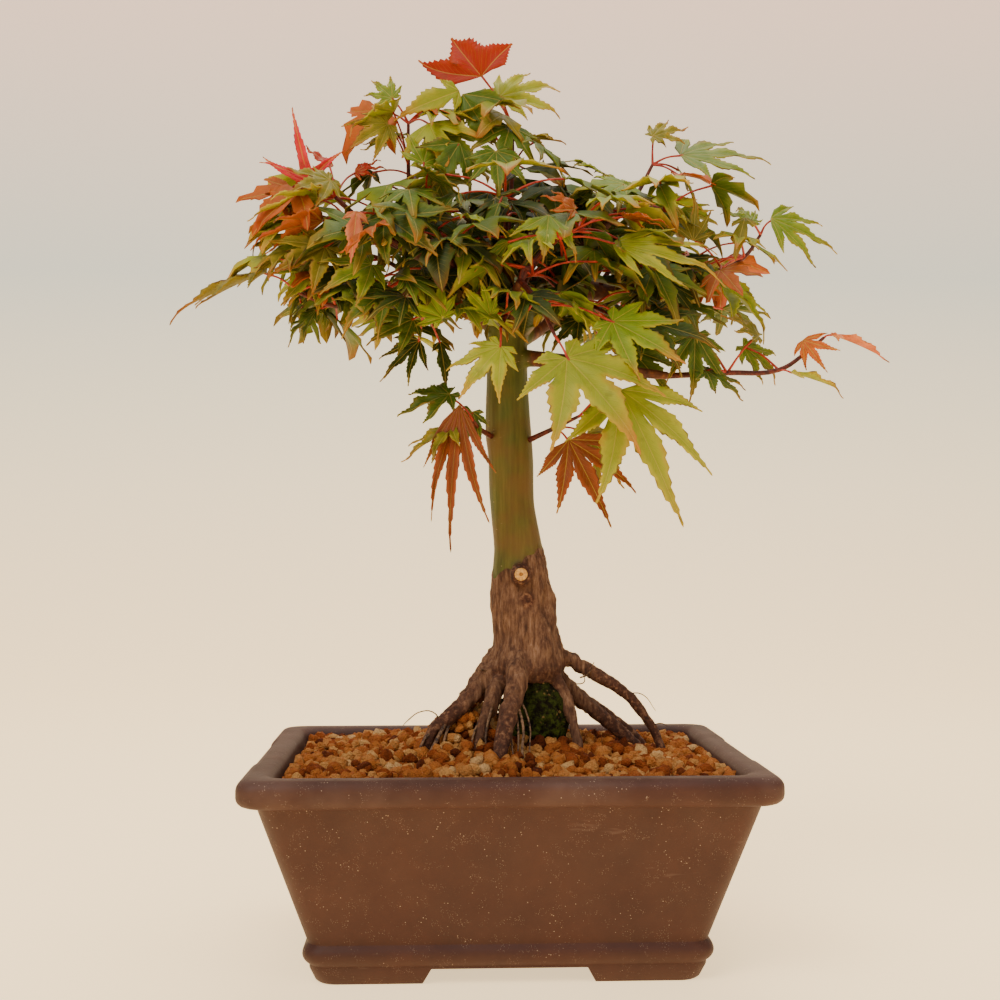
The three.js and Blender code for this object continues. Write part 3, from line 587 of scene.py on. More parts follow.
@dataclass(frozen=True)
class StudioSweep:
    """A pale floor and backdrop that shade softly with height, and glow with that colour as painted light."""

    def material(self) -> bpy.types.Material:
        """Makes the finish.

        Returns:
            The material.
        """
        # painted light: emission makes the sweep glow, brightening the floor where shadows would fall and
        # lighting the scene like a lamp
        g = Graph("studio_sweep", Roughness=0.9, Specular_IOR_Level=0.05, Emission_Strength=1.3)
        tint = g.ramp(g.height() / 1.2, (0.0, colour("ffe2b0")), (0.16, colour("eedbb4")),
                      (0.42, colour("c4c2b2")), (0.9, colour("e6c4b0")))
        g.tree.links.new(tint.socket, g.shader.inputs["Emission Color"])
        return g.finish(tint)


# ---------------------------------------------------------------- pot


@dataclass
class Pot:
    """The fired clay pot. Lengths are millimetres, and halves are measured along X."""

    depth_less: float = 15.0         # how much less the half along Y is than the half along X
    base: float = 57.0
    foot_inset: float = 2.0
    foot_height: float = 4.6
    moulding_top: float = 11.5
    moulding_bulge: float = 1.3
    wall_top: float = 70.0
    rim_low: float = 51.7
    rim: float = 75.0
    rim_round: float = 3.0
    mouth: float = 65.6
    height: float = 60.0
    wall: float = 6.0
    floor_top: float = 10.6
    corner: float = 6.0
    foot_gap: tuple[float, float] = (25.0, 18.0)
    foot_slope: float = 3.0
    foot_bar: float = 11.0
    drain_radius: float = 6.5
    drain_spacing: float = 56.0
    rim_step: float = 0.6            # the shallow recess along the middle of each rim side
    step_x: tuple[float, float] = (-35.7, 27.5)
    step_y: tuple[float, float] = (-26.0, 24.0)

    def profile(self) -> list[tuple[float, float]]:
        """Gives the section from the foot up, over the rim and down inside.

        Returns:
            Each ring's half width and height in millimetres.
        """
        arc = [math.pi * i / 8 for i in range(9)]
        groove = self.base - 0.4
        band = [(groove + (self.moulding_bulge + 0.3) * math.sin(a) ** 0.8 + 0.4 * a / math.pi,
                 self.foot_height + 0.8 + (self.moulding_top - self.foot_height - 0.8) * a / math.pi)
                for a in arc[1:]]
        quarter = [math.pi * i / 10 for i in range(6)]
        r = self.rim_round
        under = [(self.rim - r + r * math.sin(a), self.rim_low + r + 0.4 - r * math.cos(a)) for a in quarter]
        over = [(self.rim - r + r * math.cos(a), self.height - r + r * math.sin(a)) for a in quarter]
        inside = [(self.mouth + r - r * math.sin(a), self.height - r + r * math.cos(a)) for a in quarter]
        lean = (self.wall_top - self.base) / (self.rim_low - self.moulding_top)
        low = self.base + lean * (self.floor_top - self.moulding_top) - self.wall
        return [(self.base - self.foot_inset, 0.6), (self.base - 0.5, self.foot_height - 0.4),
                (groove, self.foot_height + 0.8), *band, (self.base + 0.2, self.moulding_top + 0.7),
                (self.wall_top, self.rim_low), *under, *over, *inside,
                (self.wall_top - self.wall - 1.0, self.rim_low - 3), (low + 1.2, self.floor_top + 4),
                (low - 2, self.floor_top)]

    def shell(self) -> bpy.types.Object:
        """Draws the rounded plan up through the profile, as one closed body.

        Returns:
            The body, without its feet and holes.
        """
        start = self.base - self.foot_inset - 0.6
        put_down()
        bpy.ops.mesh.primitive_plane_add(size=2)
        bpy.ops.object.mode_set(mode="EDIT")
        bpy.ops.transform.resize(value=(start * MM, (start - self.depth_less) * MM, 1))
        bpy.ops.mesh.bevel(offset=self.corner * MM, segments=8, affect="VERTICES")
        half, z = start, 0.0
        for new_half, new_z in self.profile():
            bpy.ops.mesh.extrude_region_move(TRANSFORM_OT_translate={"value": (0, 0, (new_z - z) * MM)})
            self.widen((new_half - half) * MM)
            half, z = new_half, new_z
        bpy.ops.mesh.select_all(action="SELECT")
        for axis, marks in enumerate((self.step_x, self.step_y)):
            for mark in marks:
                for off in (-0.5, 0.5):
                    where = [0.0, 0.0, 0.0]
                    where[axis] = (mark + off) * MM
                    normal = [0.0, 0.0, 0.0]
                    normal[axis] = 1.0
                    bpy.ops.mesh.select_all(action="SELECT")
                    bpy.ops.mesh.bisect(plane_co=where, plane_no=normal)
        bpy.ops.mesh.select_all(action="SELECT")
        bpy.ops.mesh.normals_make_consistent(inside=False)
        bpy.ops.object.mode_set(mode="OBJECT")
        return named("clay_pot")

    @staticmethod
    def widen(step: float) -> None:
        """Moves the selected ring out by a step in metres, so that its corners keep their radius.

        Args:
            step: Metres outwards, or inwards where it is negative.
        """
        bpy.ops.object.mode_set(mode="OBJECT")
        for vertex in bpy.context.object.data.vertices:
            if vertex.select:
                vertex.co.x += step * math.copysign(1.0, vertex.co.x)
                vertex.co.y += step * math.copysign(1.0, vertex.co.y)
        bpy.ops.object.mode_set(mode="EDIT")

    def recess(self, body: bpy.types.Object) -> None:
        """Sets the middle of each rim side back a little, with a soft step at its ends.

        Args:
            body: The pot.
        """
        points = coordinates(body.data) / MM
        sides = ((1, self.step_x, self.rim - self.depth_less), (0, self.step_y, self.rim))
        for axis, (low, high), limit in sides:
            along = points[:, 1 - axis]
            on_side = np.abs(points[:, axis]) > limit - self.rim_round * 0.9
            middle = (along > low + 0.4) & (along < high - 0.4) & (points[:, 2] > self.rim_low + 0.5)
            moved = on_side & middle
            points[moved, axis] -= np.sign(points[moved, axis]) * self.rim_step
        set_coordinates(body.data, points * MM)

    def block(self, low: Point, high: Point, flare_axis: int | None = None) -> bpy.types.Object:
        """Adds a block that cuts the pot.

        Args:
            low: Its lowest corner.
            high: Its highest corner.
            flare_axis: The axis along which its foot is wider by the slope.

        Returns:
            The block.
        """
        middle = [(a + b) / 2 * MM for a, b in zip(low, high)]
        put_down()
        bpy.ops.mesh.primitive_cube_add(size=1, location=middle)
        cutter = bpy.context.object
        cutter.scale = [(b - a) * MM for a, b in zip(low, high)]
        settle(cutter)
        if flare_axis is not None:
            points = coordinates(cutter.data)
            foot = points[:, 2] < middle[2]
            points[foot, flare_axis] += np.sign(points[foot, flare_axis]) * self.foot_slope * MM
            set_coordinates(cutter.data, points)
        return cutter

    def cut(self, body: bpy.types.Object) -> None:
        """Cuts the gaps between the feet and the drain holes.

        Args:
            body: The pot.
        """
        front, side = (gap - self.foot_slope for gap in self.foot_gap)
        inner = self.base - self.foot_inset - self.foot_bar
        top, below = self.foot_height, -1
        past_x, past_y = 90, 80
        inner_y = inner - self.depth_less
        cutters = [
            self.block((-front, -past_y, below), (front, past_y, top), 0),
            self.block((-past_x, -side, below), (past_x, side, top), 1),
            self.block((-inner, -inner_y, below), (inner, inner_y, top)),
        ]
        for sign in (-1, 1):
            put_down()
            bpy.ops.mesh.primitive_cylinder_add(
                vertices=48, radius=self.drain_radius * MM, depth=0.03,
                location=(sign * self.drain_spacing / 2 * MM, 0, 0.005))
            settle(bpy.context.object)
            cutters.append(bpy.context.object)
        for cutter in cutters:
            modify(body, "BOOLEAN", operation="DIFFERENCE", object=cutter, solver="EXACT")
            bpy.data.objects.remove(cutter, do_unlink=True)

    def build(self, finish: bpy.types.Material) -> bpy.types.Object:
        """Makes the pot and dresses it.

        Args:
            finish: The clay.

        Returns:
            The pot.
        """
        body = self.shell()
        self.recess(body)
        self.cut(body)
        modify(body, "BEVEL", width=0.5 * MM, segments=2, limit_method="ANGLE", angle_limit=math.radians(50))
        body.location = POT_ORIGIN
        settle(body)
        bpy.ops.object.shade_smooth_by_angle(angle=math.radians(32))
        body.data.materials.append(finish)
        return body


# ---------------------------------------------------------------- grown wood

TRUNK_RINGS = (
    # x, y, z, radius
    (7.6, 0, 81, 10), (7.6, 0, 85, 11.8), (7.6, 0, 90, 11), (6.8, 0, 97, 9.8),
    (6, 0, 106, 9.3), (5.4, 0, 115, 8.8), (4.6, 0, 123, 7.6), (2.8, 0, 136, 6.9),
    (2.2, 0, 152, 7.1), (1.6, 0, 158, 7.3), (1.2, 0, 176, 6.5), (1.3, 0, 191, 6.6), (2, 0, 200, 5.6),
)

ROOTS = {
    "arching": (((14, 0, 91), (20, 0, 88), (27, -1, 84), (38, -2, 77), (44, -2, 70), (49, -2, 61),
                 (50, -2, 54)), (2.7, 1.1)),
    "front": (((5, -4, 92), (4.5, -10, 86), (2, -17, 76), (-1.5, -25, 65), (-3, -29, 55)), (4.2, 1.8)),
    "left": (((0, 0, 90), (-6, -3, 83), (-11, -7, 76), (-17, -10, 71), (-22, -12, 67),
              (-25, -13, 54)), (4, 1.4)),
    "left_low": (((-1, -6, 82), (-5, -11, 73), (-8, -15, 64), (-9, -17, 55)), (2.4, 1.2)),
    "right_low": (((15, 2, 84), (24, 4, 75), (34, 5, 67), (43, 5, 59), (47, 5, 53)), (3.2, 1.4)),
    "right_back": (((13, 5, 84), (24, 10, 75), (36, 13, 67), (46, 15, 58), (50, 16, 52)), (3, 1.4)),
    "front_right": (((14, -4, 86), (19, -7, 75), (22, -9, 65), (23, -10, 54)), (2.4, 1.2)),
    "back_left": (((2, 6, 86), (-8, 15, 75), (-18, 24, 64), (-22, 29, 54)), (3.4, 1.5)),
    "back": (((8, 7, 86), (12, 18, 74), (14, 28, 63), (15, 33, 54)), (3.2, 1.5)),
}

LIMBS = {
    "right": (((1, 0, 186), (7, 0, 199), (16, 1, 206), (30, 3, 204), (46, 4, 205), (60, 2, 209)), (5.6, 1.5)),
    "left": (((0, 0, 188), (-7, -3, 202), (-20, -7, 210), (-32, -10, 215)), (4.6, 1.5)),
    "low_left": (((-1, -2, 190), (-12, -5, 196), (-24, -6, 198), (-38, -6, 198)), (2.8, 1.3)),
    "top": (((2, 0, 192), (1, 1, 204), (1, 0, 214)), (3.4, 1.7)),
    "back": (((2, 2, 188), (7, 16, 202), (13, 32, 208)), (3.8, 1.6)),
    "back_left": (((0, 3, 190), (-14, 16, 204), (-26, 28, 210)), (3.4, 1.5)),
    "back_right": (((4, 2, 188), (20, 16, 198), (38, 28, 204)), (3.6, 1.5)),
    "low_right": (((4, -2, 182), (18, -8, 180), (34, -12, 177), (50, -14, 175)), (2.8, 1.4)),
    "front": (((2, -2, 188), (3, -14, 197), (4, -24, 202)), (3, 1.4)),
    "up_right": (((13, 1, 203), (24, 4, 216), (34, 4, 226)), (2.6, 1.3)),
}

BARK_RIDGE = (((13, -3, 92), (12.6, -2.5, 104), (11, -2, 114), (9.6, -1.5, 122)), (4, 2.6))
CUT_STUB = (((4.9, -3, 113), (4.9, -11.5, 114.3)), (3, 2.7))

# Hair roots and pale fibres round the base, each with its radius.
ROOTLETS = (
    (((-19, -11, 69), (-22, -13, 73), (-26, -14, 73), (-29, -15, 71), (-31, -15, 69)), 0.24),
    (((-9, -6, 77), (-12, -8, 79), (-14, -9, 78)), 0.22),
    (((-4, -4, 84), (-7, -7, 85), (-9, -8, 85)), 0.3),
    (((24, -1, 82), (26, -3, 83), (28, -4, 87)), 0.3),
    (((22, -2, 80), (25, -4, 81), (24, -5, 84)), 0.22),
    (((38, -2, 77), (43, -4, 77), (47, -5, 72)), 0.2),
    (((46, -2, 67), (49, -4, 68), (51, -4, 67)), 0.22),
    (((-17, -10, 71), (-20, -15, 66), (-23, -18, 60), (-24, -19, 55)), 0.8),
    (((-16, -9, 71), (-18, -14, 66), (-20, -17, 58)), 0.6),
    (((-21, -12, 68), (-25, -15, 64), (-27, -17, 56)), 0.55),
    (((3, -16, 77), (5, -22, 69), (4.5, -25, 62), (6, -27, 56)), 0.55),
    (((3, -17, 75), (3.5, -23, 66), (2.5, -26, 57)), 0.4),
    (((4, -15, 78), (7, -20, 70), (7, -23, 60), (9, -25, 55)), 0.35),
    (((2, -18, 73), (1.5, -25, 64), (3, -28, 56)), 0.3),
    (((-4, -12, 74), (-6, -17, 66), (-5, -20, 57)), 0.5),
    (((-7, -11, 72), (-10, -16, 65), (-11, -18, 57)), 0.45),
)


@dataclass
class GrownWood:
    """Trunk, roots and limbs, grown together."""

    voxel: float = 0.62
    smooth_from: float = 118.0       # the old bark ends at about this height
    rough_depth: float = 0.85        # how far the old bark's fibres, its lumps, the smooth bark
    lump_depth: float = 0.9          # and the roots' fibres stand out
    soft_depth: float = 0.22
    root_depth: float = 0.2
    trunk_x: float = 7.5             # about the trunk's middle at its foot
    crown_x: float = 1.5             # and below the limbs
    stub: tuple[float, float] = (4.9, 114.2)

    def zones(self, points: np.ndarray) -> np.ndarray:
        """Tells old bark, root and limb apart; the root share also lays painted shade round the trunk's foot.

        Args:
            points: Millimetre rows.

        Returns:
            A row of three shares for each point.
        """
        x, y, z = points.T
        ragged = np.array([noise.noise(Vector((p[0] * 0.25, p[1] * 0.25, 3.0))) for p in points])
        boundary = self.smooth_from + 4.0 * np.tanh((x - 5.0) / 3.0) + 4.5 * ragged
        old = 1 - smooth(-1.5, 2.0, z - boundary)
        reach = np.hypot(x - self.trunk_x, y)
        root = smooth(13.0, 27.0, reach) * (z < 100) * 0.9
        scar = smooth(3.4, 1.6, np.hypot(x - 7.0, z - 106.5)) * (y < -5)
        collar = smooth(4.6, 3.0, np.hypot(x - self.stub[0], z - self.stub[1])) * (y < -8)
        # painted shade: the dark root colour laid round the trunk's foot, where the hollow lies in shade
        foot_shade = smooth(89.0, 84.0, z) * smooth(14.0, 11.0, reach) * 0.8
        root = np.maximum(np.maximum(root, foot_shade), np.maximum(scar, collar))
        limb = smooth(190.0, 199.0, z + 1.2 * ragged)
        limb = np.maximum(limb, (z > 165) * smooth(7.6, 10.0, np.hypot(x - self.crown_x, y)))
        return np.column_stack([old * (z < 160), root, limb])

    def relief(self, points: np.ndarray, zone: np.ndarray) -> np.ndarray:
        """Gives the bark's relief.

        Args:
            points: Millimetre rows.
            zone: Their shares of old bark, root and limb.

        Returns:
            How far each point stands out, in millimetres.
        """
        out = np.empty(len(points))
        for i, (x, y, z) in enumerate(points):
            old, root, _ = zone[i]
            fibre = noise.fractal(Vector((x * 0.55, y * 0.55, z * 0.09)), 0.9, 2.2, 3)
            lump = noise.noise(Vector((x * 0.16, y * 0.16, z * 0.08)))
            soft = noise.noise(Vector((x * 0.3, y * 0.3, z * 0.05)))
            rough = old * (1 - root) * (self.rough_depth * fibre + self.lump_depth * lump)
            out[i] = rough + self.soft_depth * soft + self.root_depth * root * fibre
        return out

    def build(self, bark: bpy.types.Material, cut_face: bpy.types.Material, pith: bpy.types.Material,
              hair: bpy.types.Material) -> bpy.types.Object:
        """Makes the grown wood and dresses it.

        Args:
            bark: The bark.
            cut_face: The finish of the cut stub's face.
            pith: The finish of its middle.
            hair: The finish of the hair roots.

        Returns:
            The wood.
        """
        trunk = tubes("trunk", [([r[:3] for r in TRUNK_RINGS], [r[3] for r in TRUNK_RINGS])], 10, 6)
        bars = [*ROOTS.values(), *LIMBS.values(), BARK_RIDGE, CUT_STUB]
        arms = tubes("arms", [(points, even_radii(ends, len(points))) for points, ends in bars], 5, 6)
        put_down()
        bpy.ops.mesh.primitive_torus_add(
            location=place((self.stub[0], -10.2, self.stub[1])), rotation=(math.pi / 2, 0, 0),
            major_radius=2.7 * MM, minor_radius=0.85 * MM, major_segments=24, minor_segments=10)
        settle(bpy.context.object)
        wood = join([trunk, arms, bpy.context.object], "trunk_wood")
        modify(wood, "REMESH", mode="VOXEL", voxel_size=self.voxel * MM)
        modify(wood, "SMOOTH", factor=0.6, iterations=4)
        points = (coordinates(wood.data) - np.array(POT_ORIGIN)) / MM
        zone = self.zones(points)
        normals = np.empty(len(points) * 3)
        wood.data.vertices.foreach_get("normal", normals)
        moved = points + normals.reshape(-1, 3) * self.relief(points, zone)[:, None]
        set_coordinates(wood.data, moved * MM + np.array(POT_ORIGIN))
        set_attribute(wood.data, "zone", zone)
        wood.data.materials.append(bark)
        threads = tubes("hair_roots", [(line, [r] + [r * 0.8] * (len(line) - 2) + [r * 0.4])
                                       for line, r in ROOTLETS], 1, 4)
        threads.data.materials.append(hair)
        whole = join([wood, threads, *self.sawn_stub(cut_face, pith)], "maple_trunk_and_roots")
        bpy.ops.object.shade_smooth()
        return whole

    def sawn_stub(self, cut_face: bpy.types.Material, pith: bpy.types.Material) -> list[bpy.types.Object]:
        """Makes the pale sawn face of the old branch stub.

        Args:
            cut_face: The finish of the face.
            pith: The finish of its middle.

        Returns:
            The face and its middle.
        """
        parts = []
        faces = (("sawn_face", 1.95, -11.7, cut_face), ("pith", 0.6, -11.85, pith))
        for name, radius, front, finish in faces:
            put_down()
            bpy.ops.mesh.primitive_cylinder_add(
                vertices=32, radius=radius * MM, depth=0.8 * MM, rotation=(math.pi / 2, 0, 0),
                location=place((self.stub[0], front, self.stub[1] + 0.2)))
            disc = named(name)
            settle(disc)
            modify(disc, "BEVEL", width=0.2 * MM, segments=2)
            disc.data.materials.append(finish)
            parts.append(disc)
        return parts


# ---------------------------------------------------------------- soil and moss


@dataclass
class SoilBed:
    """Akadama grains over a solid bed."""

    half: tuple[float, float] = (64.6, 49.6)
    corner: float = 7.0
    below_rim: float = 2.6
    rim: float = 60.0
    mound: tuple[float, float] = (6.0, 38.0)
    pile: tuple[float, float, float, float] = (-11.0, -3.0, 11.5, 7.5)
    spacing: float = 2.75
    grain: tuple[float, float] = (1.25, 2.3)
    kinds: int = 9
    sinks: tuple[float, float] = (1.9, 0.2)          # how far the two layers lie below the level
    row_share: float = 0.87          # the rows' spacing as a share of the grains'
    stray: float = 0.8
    large: float = 1.25              # how much larger some grains are, and their share
    large_share: float = 0.1
    left_out: float = 0.26           # the share of the upper layer's places left empty
    bed_depth: float = 2.6
    seed: int = 41

    def level(self, x: float, y: float) -> float:
        """Gives the soil's height.

        Args:
            x: Millimetres from the pot's middle.
            y: The same, towards the back.

        Returns:
            The height.
        """
        height, spread = self.mound
        px, py, heap, width = self.pile
        broad = height * math.exp(-(x * x + y * y) / spread ** 2)
        heaped = heap * math.exp(-((x - px) ** 2 + (y - py) ** 2) / (2 * width ** 2))
        waves = 0.4 * (math.sin(x * 0.23 + y * 0.11) + math.sin(y * 0.31 - x * 0.08))
        return self.rim - self.below_rim + broad + heaped + waves

    def inside(self, x: float, y: float, margin: float) -> bool:
        """Tells whether a place lies within the pot's mouth.

        Args:
            x: Millimetres from the pot's middle.
            y: The same, towards the back.
            margin: How far inside it has to be.

        Returns:
            Whether it does.
        """
        dx = abs(x) - (self.half[0] - self.corner)
        dy = abs(y) - (self.half[1] - self.corner)
        return math.hypot(max(dx, 0), max(dy, 0)) < self.corner - margin

    def bed(self) -> bpy.types.Object:
        """Makes the solid bed under the grains, in their darkest colour, as painted shade in the gaps between
        them.

        Returns:
            The bed.
        """
        put_down()
        bpy.ops.mesh.primitive_grid_add(x_subdivisions=60, y_subdivisions=46, size=2)
        bed = named("bed")
        points = coordinates(bed.data)
        rows = []
        for x, y, _ in points:
            px, py = x * (self.half[0] - 2), y * (self.half[1] - 2)
            rows.append(place((px, py, self.level(px, py) - self.bed_depth)))
        set_coordinates(bed.data, np.array(rows))
        bpy.ops.object.mode_set(mode="EDIT")
        bpy.ops.mesh.select_all(action="SELECT")
        bpy.ops.mesh.extrude_region_move(TRANSFORM_OT_translate={"value": (0, 0, -4 * MM)})
        bpy.ops.mesh.select_all(action="SELECT")
        bpy.ops.mesh.normals_make_consistent(inside=False)
        bpy.ops.object.mode_set(mode="OBJECT")
        # painted shade: the bed takes the grains' darkest colour, so the gaps between grains read dark
        set_attribute(bed.data, "grain", np.tile((0.05, 0, 0), (len(bed.data.vertices), 1)))
        return bed

    def nuggets(self, rng: random.Random) -> list[tuple[np.ndarray, np.ndarray]]:
        """Models a few different grains.

        Args:
            rng: The soil's random numbers.

        Returns:
            Each grain's points and faces.
        """
        shapes = []
        for kind in range(self.kinds):
            put_down()
            bpy.ops.mesh.primitive_cube_add(size=1.4)
            bpy.ops.object.mode_set(mode="EDIT")
            bpy.ops.mesh.subdivide(number_cuts=1, smoothness=1.0)
            bpy.ops.object.mode_set(mode="OBJECT")
            cube = bpy.context.object
            points = coordinates(cube.data)
            points /= np.linalg.norm(points, axis=1)[:, None] ** 0.75
            squash = np.array([rng.uniform(0.68, 1.12) for _ in range(3)])
            dents = [1 + 0.75 * noise.noise(Vector(p) * 1.9 + Vector((kind * 7.0, 0, 0))) for p in points]
            points = points * squash * np.array(dents)[:, None]
            faces = np.array([tuple(face.vertices) for face in cube.data.polygons])
            shapes.append((points, faces))
            bpy.data.objects.remove(cube, do_unlink=True)
        return shapes

    def build(self, finish: bpy.types.Material, blocked: Callable[[Vector], bool]) -> bpy.types.Object:
        """Scatters the grains and dresses the soil.

        Args:
            finish: The grains' finish.
            blocked: Tells whether wood takes a grain's place.

        Returns:
            The soil.
        """
        rng = random.Random(self.seed)
        shapes = self.nuggets(rng)
        points, faces, shades, count = [], [], [], 0
        rows = int(2 * self.half[1] / (self.spacing * self.row_share)) + 2
        columns = int(2 * self.half[0] / self.spacing) + 2
        for layer, sink in enumerate(self.sinks):
            for row in range(rows):
                for column in range(columns):
                    stagger = 0.5 * ((row + layer) % 2)
                    x = (column + stagger) * self.spacing - self.half[0]
                    x += rng.uniform(-self.stray, self.stray)
                    y = row * self.spacing * self.row_share - self.half[1]
                    y += rng.uniform(-self.stray, self.stray)
                    size = rng.uniform(*self.grain) * (self.large if rng.random() < self.large_share else 1.0)
                    turn = [rng.uniform(0, math.tau) for _ in range(3)]
                    z = self.level(x, y) - sink + rng.uniform(-1.1, 1.0)
                    shape = shapes[rng.randrange(self.kinds)]
                    patch = noise.noise(Vector((x * 0.055, y * 0.09, 2.0)))
                    shade = min(1.0, max(0.0, rng.gauss(0.5 + 0.35 * patch, 0.21)))
                    if not self.inside(x, y, size * 0.9) or blocked(Vector((x, y, z))):
                        continue
                    if layer == 1 and rng.random() < self.left_out:
                        continue
                    spin = self.turned(turn)
                    points.append(shape[0] @ spin * size + np.array((x, y, z)))
                    faces.append(shape[1] + count)
                    count += len(shape[0])
                    shades.extend([shade] * len(shape[0]))
        mesh = bpy.data.meshes.new("grains")
        metres = np.concatenate(points) * MM + np.array(POT_ORIGIN)
        mesh.from_pydata(metres.tolist(), [], np.concatenate(faces).tolist())
        set_attribute(mesh, "grain", np.column_stack([shades, shades, shades]))
        grains = bpy.data.objects.new("grains", mesh)
        bpy.context.collection.objects.link(grains)
        soil = join([grains, self.bed()], "akadama_soil")
        bpy.ops.object.shade_smooth()
        soil.data.materials.append(finish)
        return soil

    @staticmethod
    def turned(turn: Sequence[float]) -> np.ndarray:
        """Gives the matrix of three turns, about Z, X and Z.

        Args:
            turn: The three angles in radians.

        Returns:
            The matrix.
        """
        def about(axis: int, angle: float) -> np.ndarray:
            """Gives one turn's matrix.

            Args:
                axis: The axis's number.
                angle: The turn in radians.

            Returns:
                The matrix.
            """
            c, s = math.cos(angle), math.sin(angle)
            i, j = [(1, 2), (0, 2), (0, 1)][axis]
            matrix = np.eye(3)
            matrix[i, i] = matrix[j, j] = c
            matrix[i, j], matrix[j, i] = -s, s
            return matrix
        return about(2, turn[0]) @ about(0, turn[1]) @ about(2, turn[2])


@dataclass
class MossBall:
    """Dark moss and peat between the right-hand roots."""

    centre: tuple[float, float, float] = (9.5, -3, 70)
    size: tuple[float, float, float] = (10.8, 9.8, 12.8)
    tufts: int = 420
    tuft_radii: tuple[float, float] = (0.16, 0.05)
    seed: int = 5

    def build(self, finish: bpy.types.Material) -> bpy.types.Object:
        """Makes the moss ball and its tufts.

        Args:
            finish: Its material.

        Returns:
            The moss ball.
        """
        put_down()
        bpy.ops.mesh.primitive_ico_sphere_add(subdivisions=6, radius=1)
        ball = named("ball")
        points = coordinates(ball.data)
        lumps = np.array([1 + 0.07 * noise.fractal(Vector(p) * 3.2, 0.8, 2.1, 4) for p in points])
        ball_points = points * lumps[:, None] * self.size + self.centre
        set_coordinates(ball.data, ball_points * MM + np.array(POT_ORIGIN))
        rng = random.Random(self.seed)
        lines = []
        for _ in range(self.tufts):
            out = Vector((rng.gauss(0, 1), rng.gauss(0, 1), rng.gauss(0, 1))).normalized()
            start = Vector(self.centre) + Vector([a * b for a, b in zip(out, self.size)])
            lean = Vector((rng.uniform(-1, 1), rng.uniform(-1, 1), rng.uniform(-0.4, 1))) * 0.5
            end = start + (out + lean) * rng.uniform(0.6, 1.5)
            lines.append(((tuple(start - out * 0.3), tuple(end)), self.tuft_radii))
        hair = tubes("tufts", lines, 0, 1)
        moss = join([ball, hair], "root_moss")
        bpy.ops.object.shade_smooth()
        moss.data.materials.append(finish)
        return moss


@dataclass
class DrainScreens:
    """The plastic mesh squares keep their CAD shape and take a finish."""

    nodes: tuple[str, ...] = ("drain_screen_left", "drain_screen_right")

    def dress(self, finish: bpy.types.Material) -> None:
        """Gives both screens their plastic.

        Args:
            finish: Their material.
        """
        for node in self.nodes:
            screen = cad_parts[node]
            screen.data.materials.clear()
            screen.data.materials.append(finish)
            LOG.info("%s: CAD shape kept", node)


# ---------------------------------------------------------------- leaves


class Tone(Enum):
    """A leaf's colours: round the stalk, towards its edge, and at its lobes' ends."""

    # dark green that paints the shade on leaves inside and under the crown
    DEEP = ("28380e", "3e4f12", "5c4416")
    GREEN = ("435a12", "627018", "8a5f1c")
    FRESH = ("637818", "8c941e", "aa6a22")
    LIME = ("87901e", "aca428", "bc6e28")
    OLIVE = ("6f6a18", "93801f", "96501e")
    ORANGE = ("a6521a", "c0601d", "9a3013")
    BROWN = ("7a3c18", "964a1e", "5c2410")
    RED = ("a8280a", "b83008", "94160a")
    PINK = ("c4302c", "d8203c", "cc1840")
    SALMON = ("bd6038", "d48050", "d05a4c")


@dataclass(frozen=True)
class Lobe:
    """One lobe: its angle from the middle one, its length and half width as shares of that one's length."""

    angle: float
    length: float
    half: float


class Form(Enum):
    """A leaf's outline, as its lobes from one side to the other."""

    STAR = (Lobe(124, 0.27, 0.05), Lobe(82, 0.54, 0.085), Lobe(42, 0.87, 0.125), Lobe(0, 1.0, 0.14),
            Lobe(-42, 0.87, 0.125), Lobe(-82, 0.54, 0.085), Lobe(-124, 0.27, 0.05))
    BROAD = (Lobe(68, 0.95, 0.17), Lobe(0, 1.0, 0.25), Lobe(-68, 0.8, 0.16))
    STRAP = (Lobe(55, 0.34, 0.06), Lobe(0, 1.0, 0.165), Lobe(-55, 0.3, 0.05))
    SLIM = (Lobe(72, 0.6, 0.07), Lobe(35, 0.88, 0.095), Lobe(0, 1.0, 0.105), Lobe(-35, 0.8, 0.095),
            Lobe(-72, 0.5, 0.07))
    WISP = (Lobe(95, 0.6, 0.03), Lobe(48, 0.7, 0.04), Lobe(0, 1.0, 0.05), Lobe(-52, 0.62, 0.04))
    THREE = (Lobe(60, 1.0, 0.17), Lobe(14, 0.72, 0.22), Lobe(-70, 0.58, 0.17))


DROOP = 0.16
DROOP_SAVED = 0.45
UP = (0, 0, 1)
FRONT = (0, -1, 0.15)
TILT = (0, -0.75, 0.65)


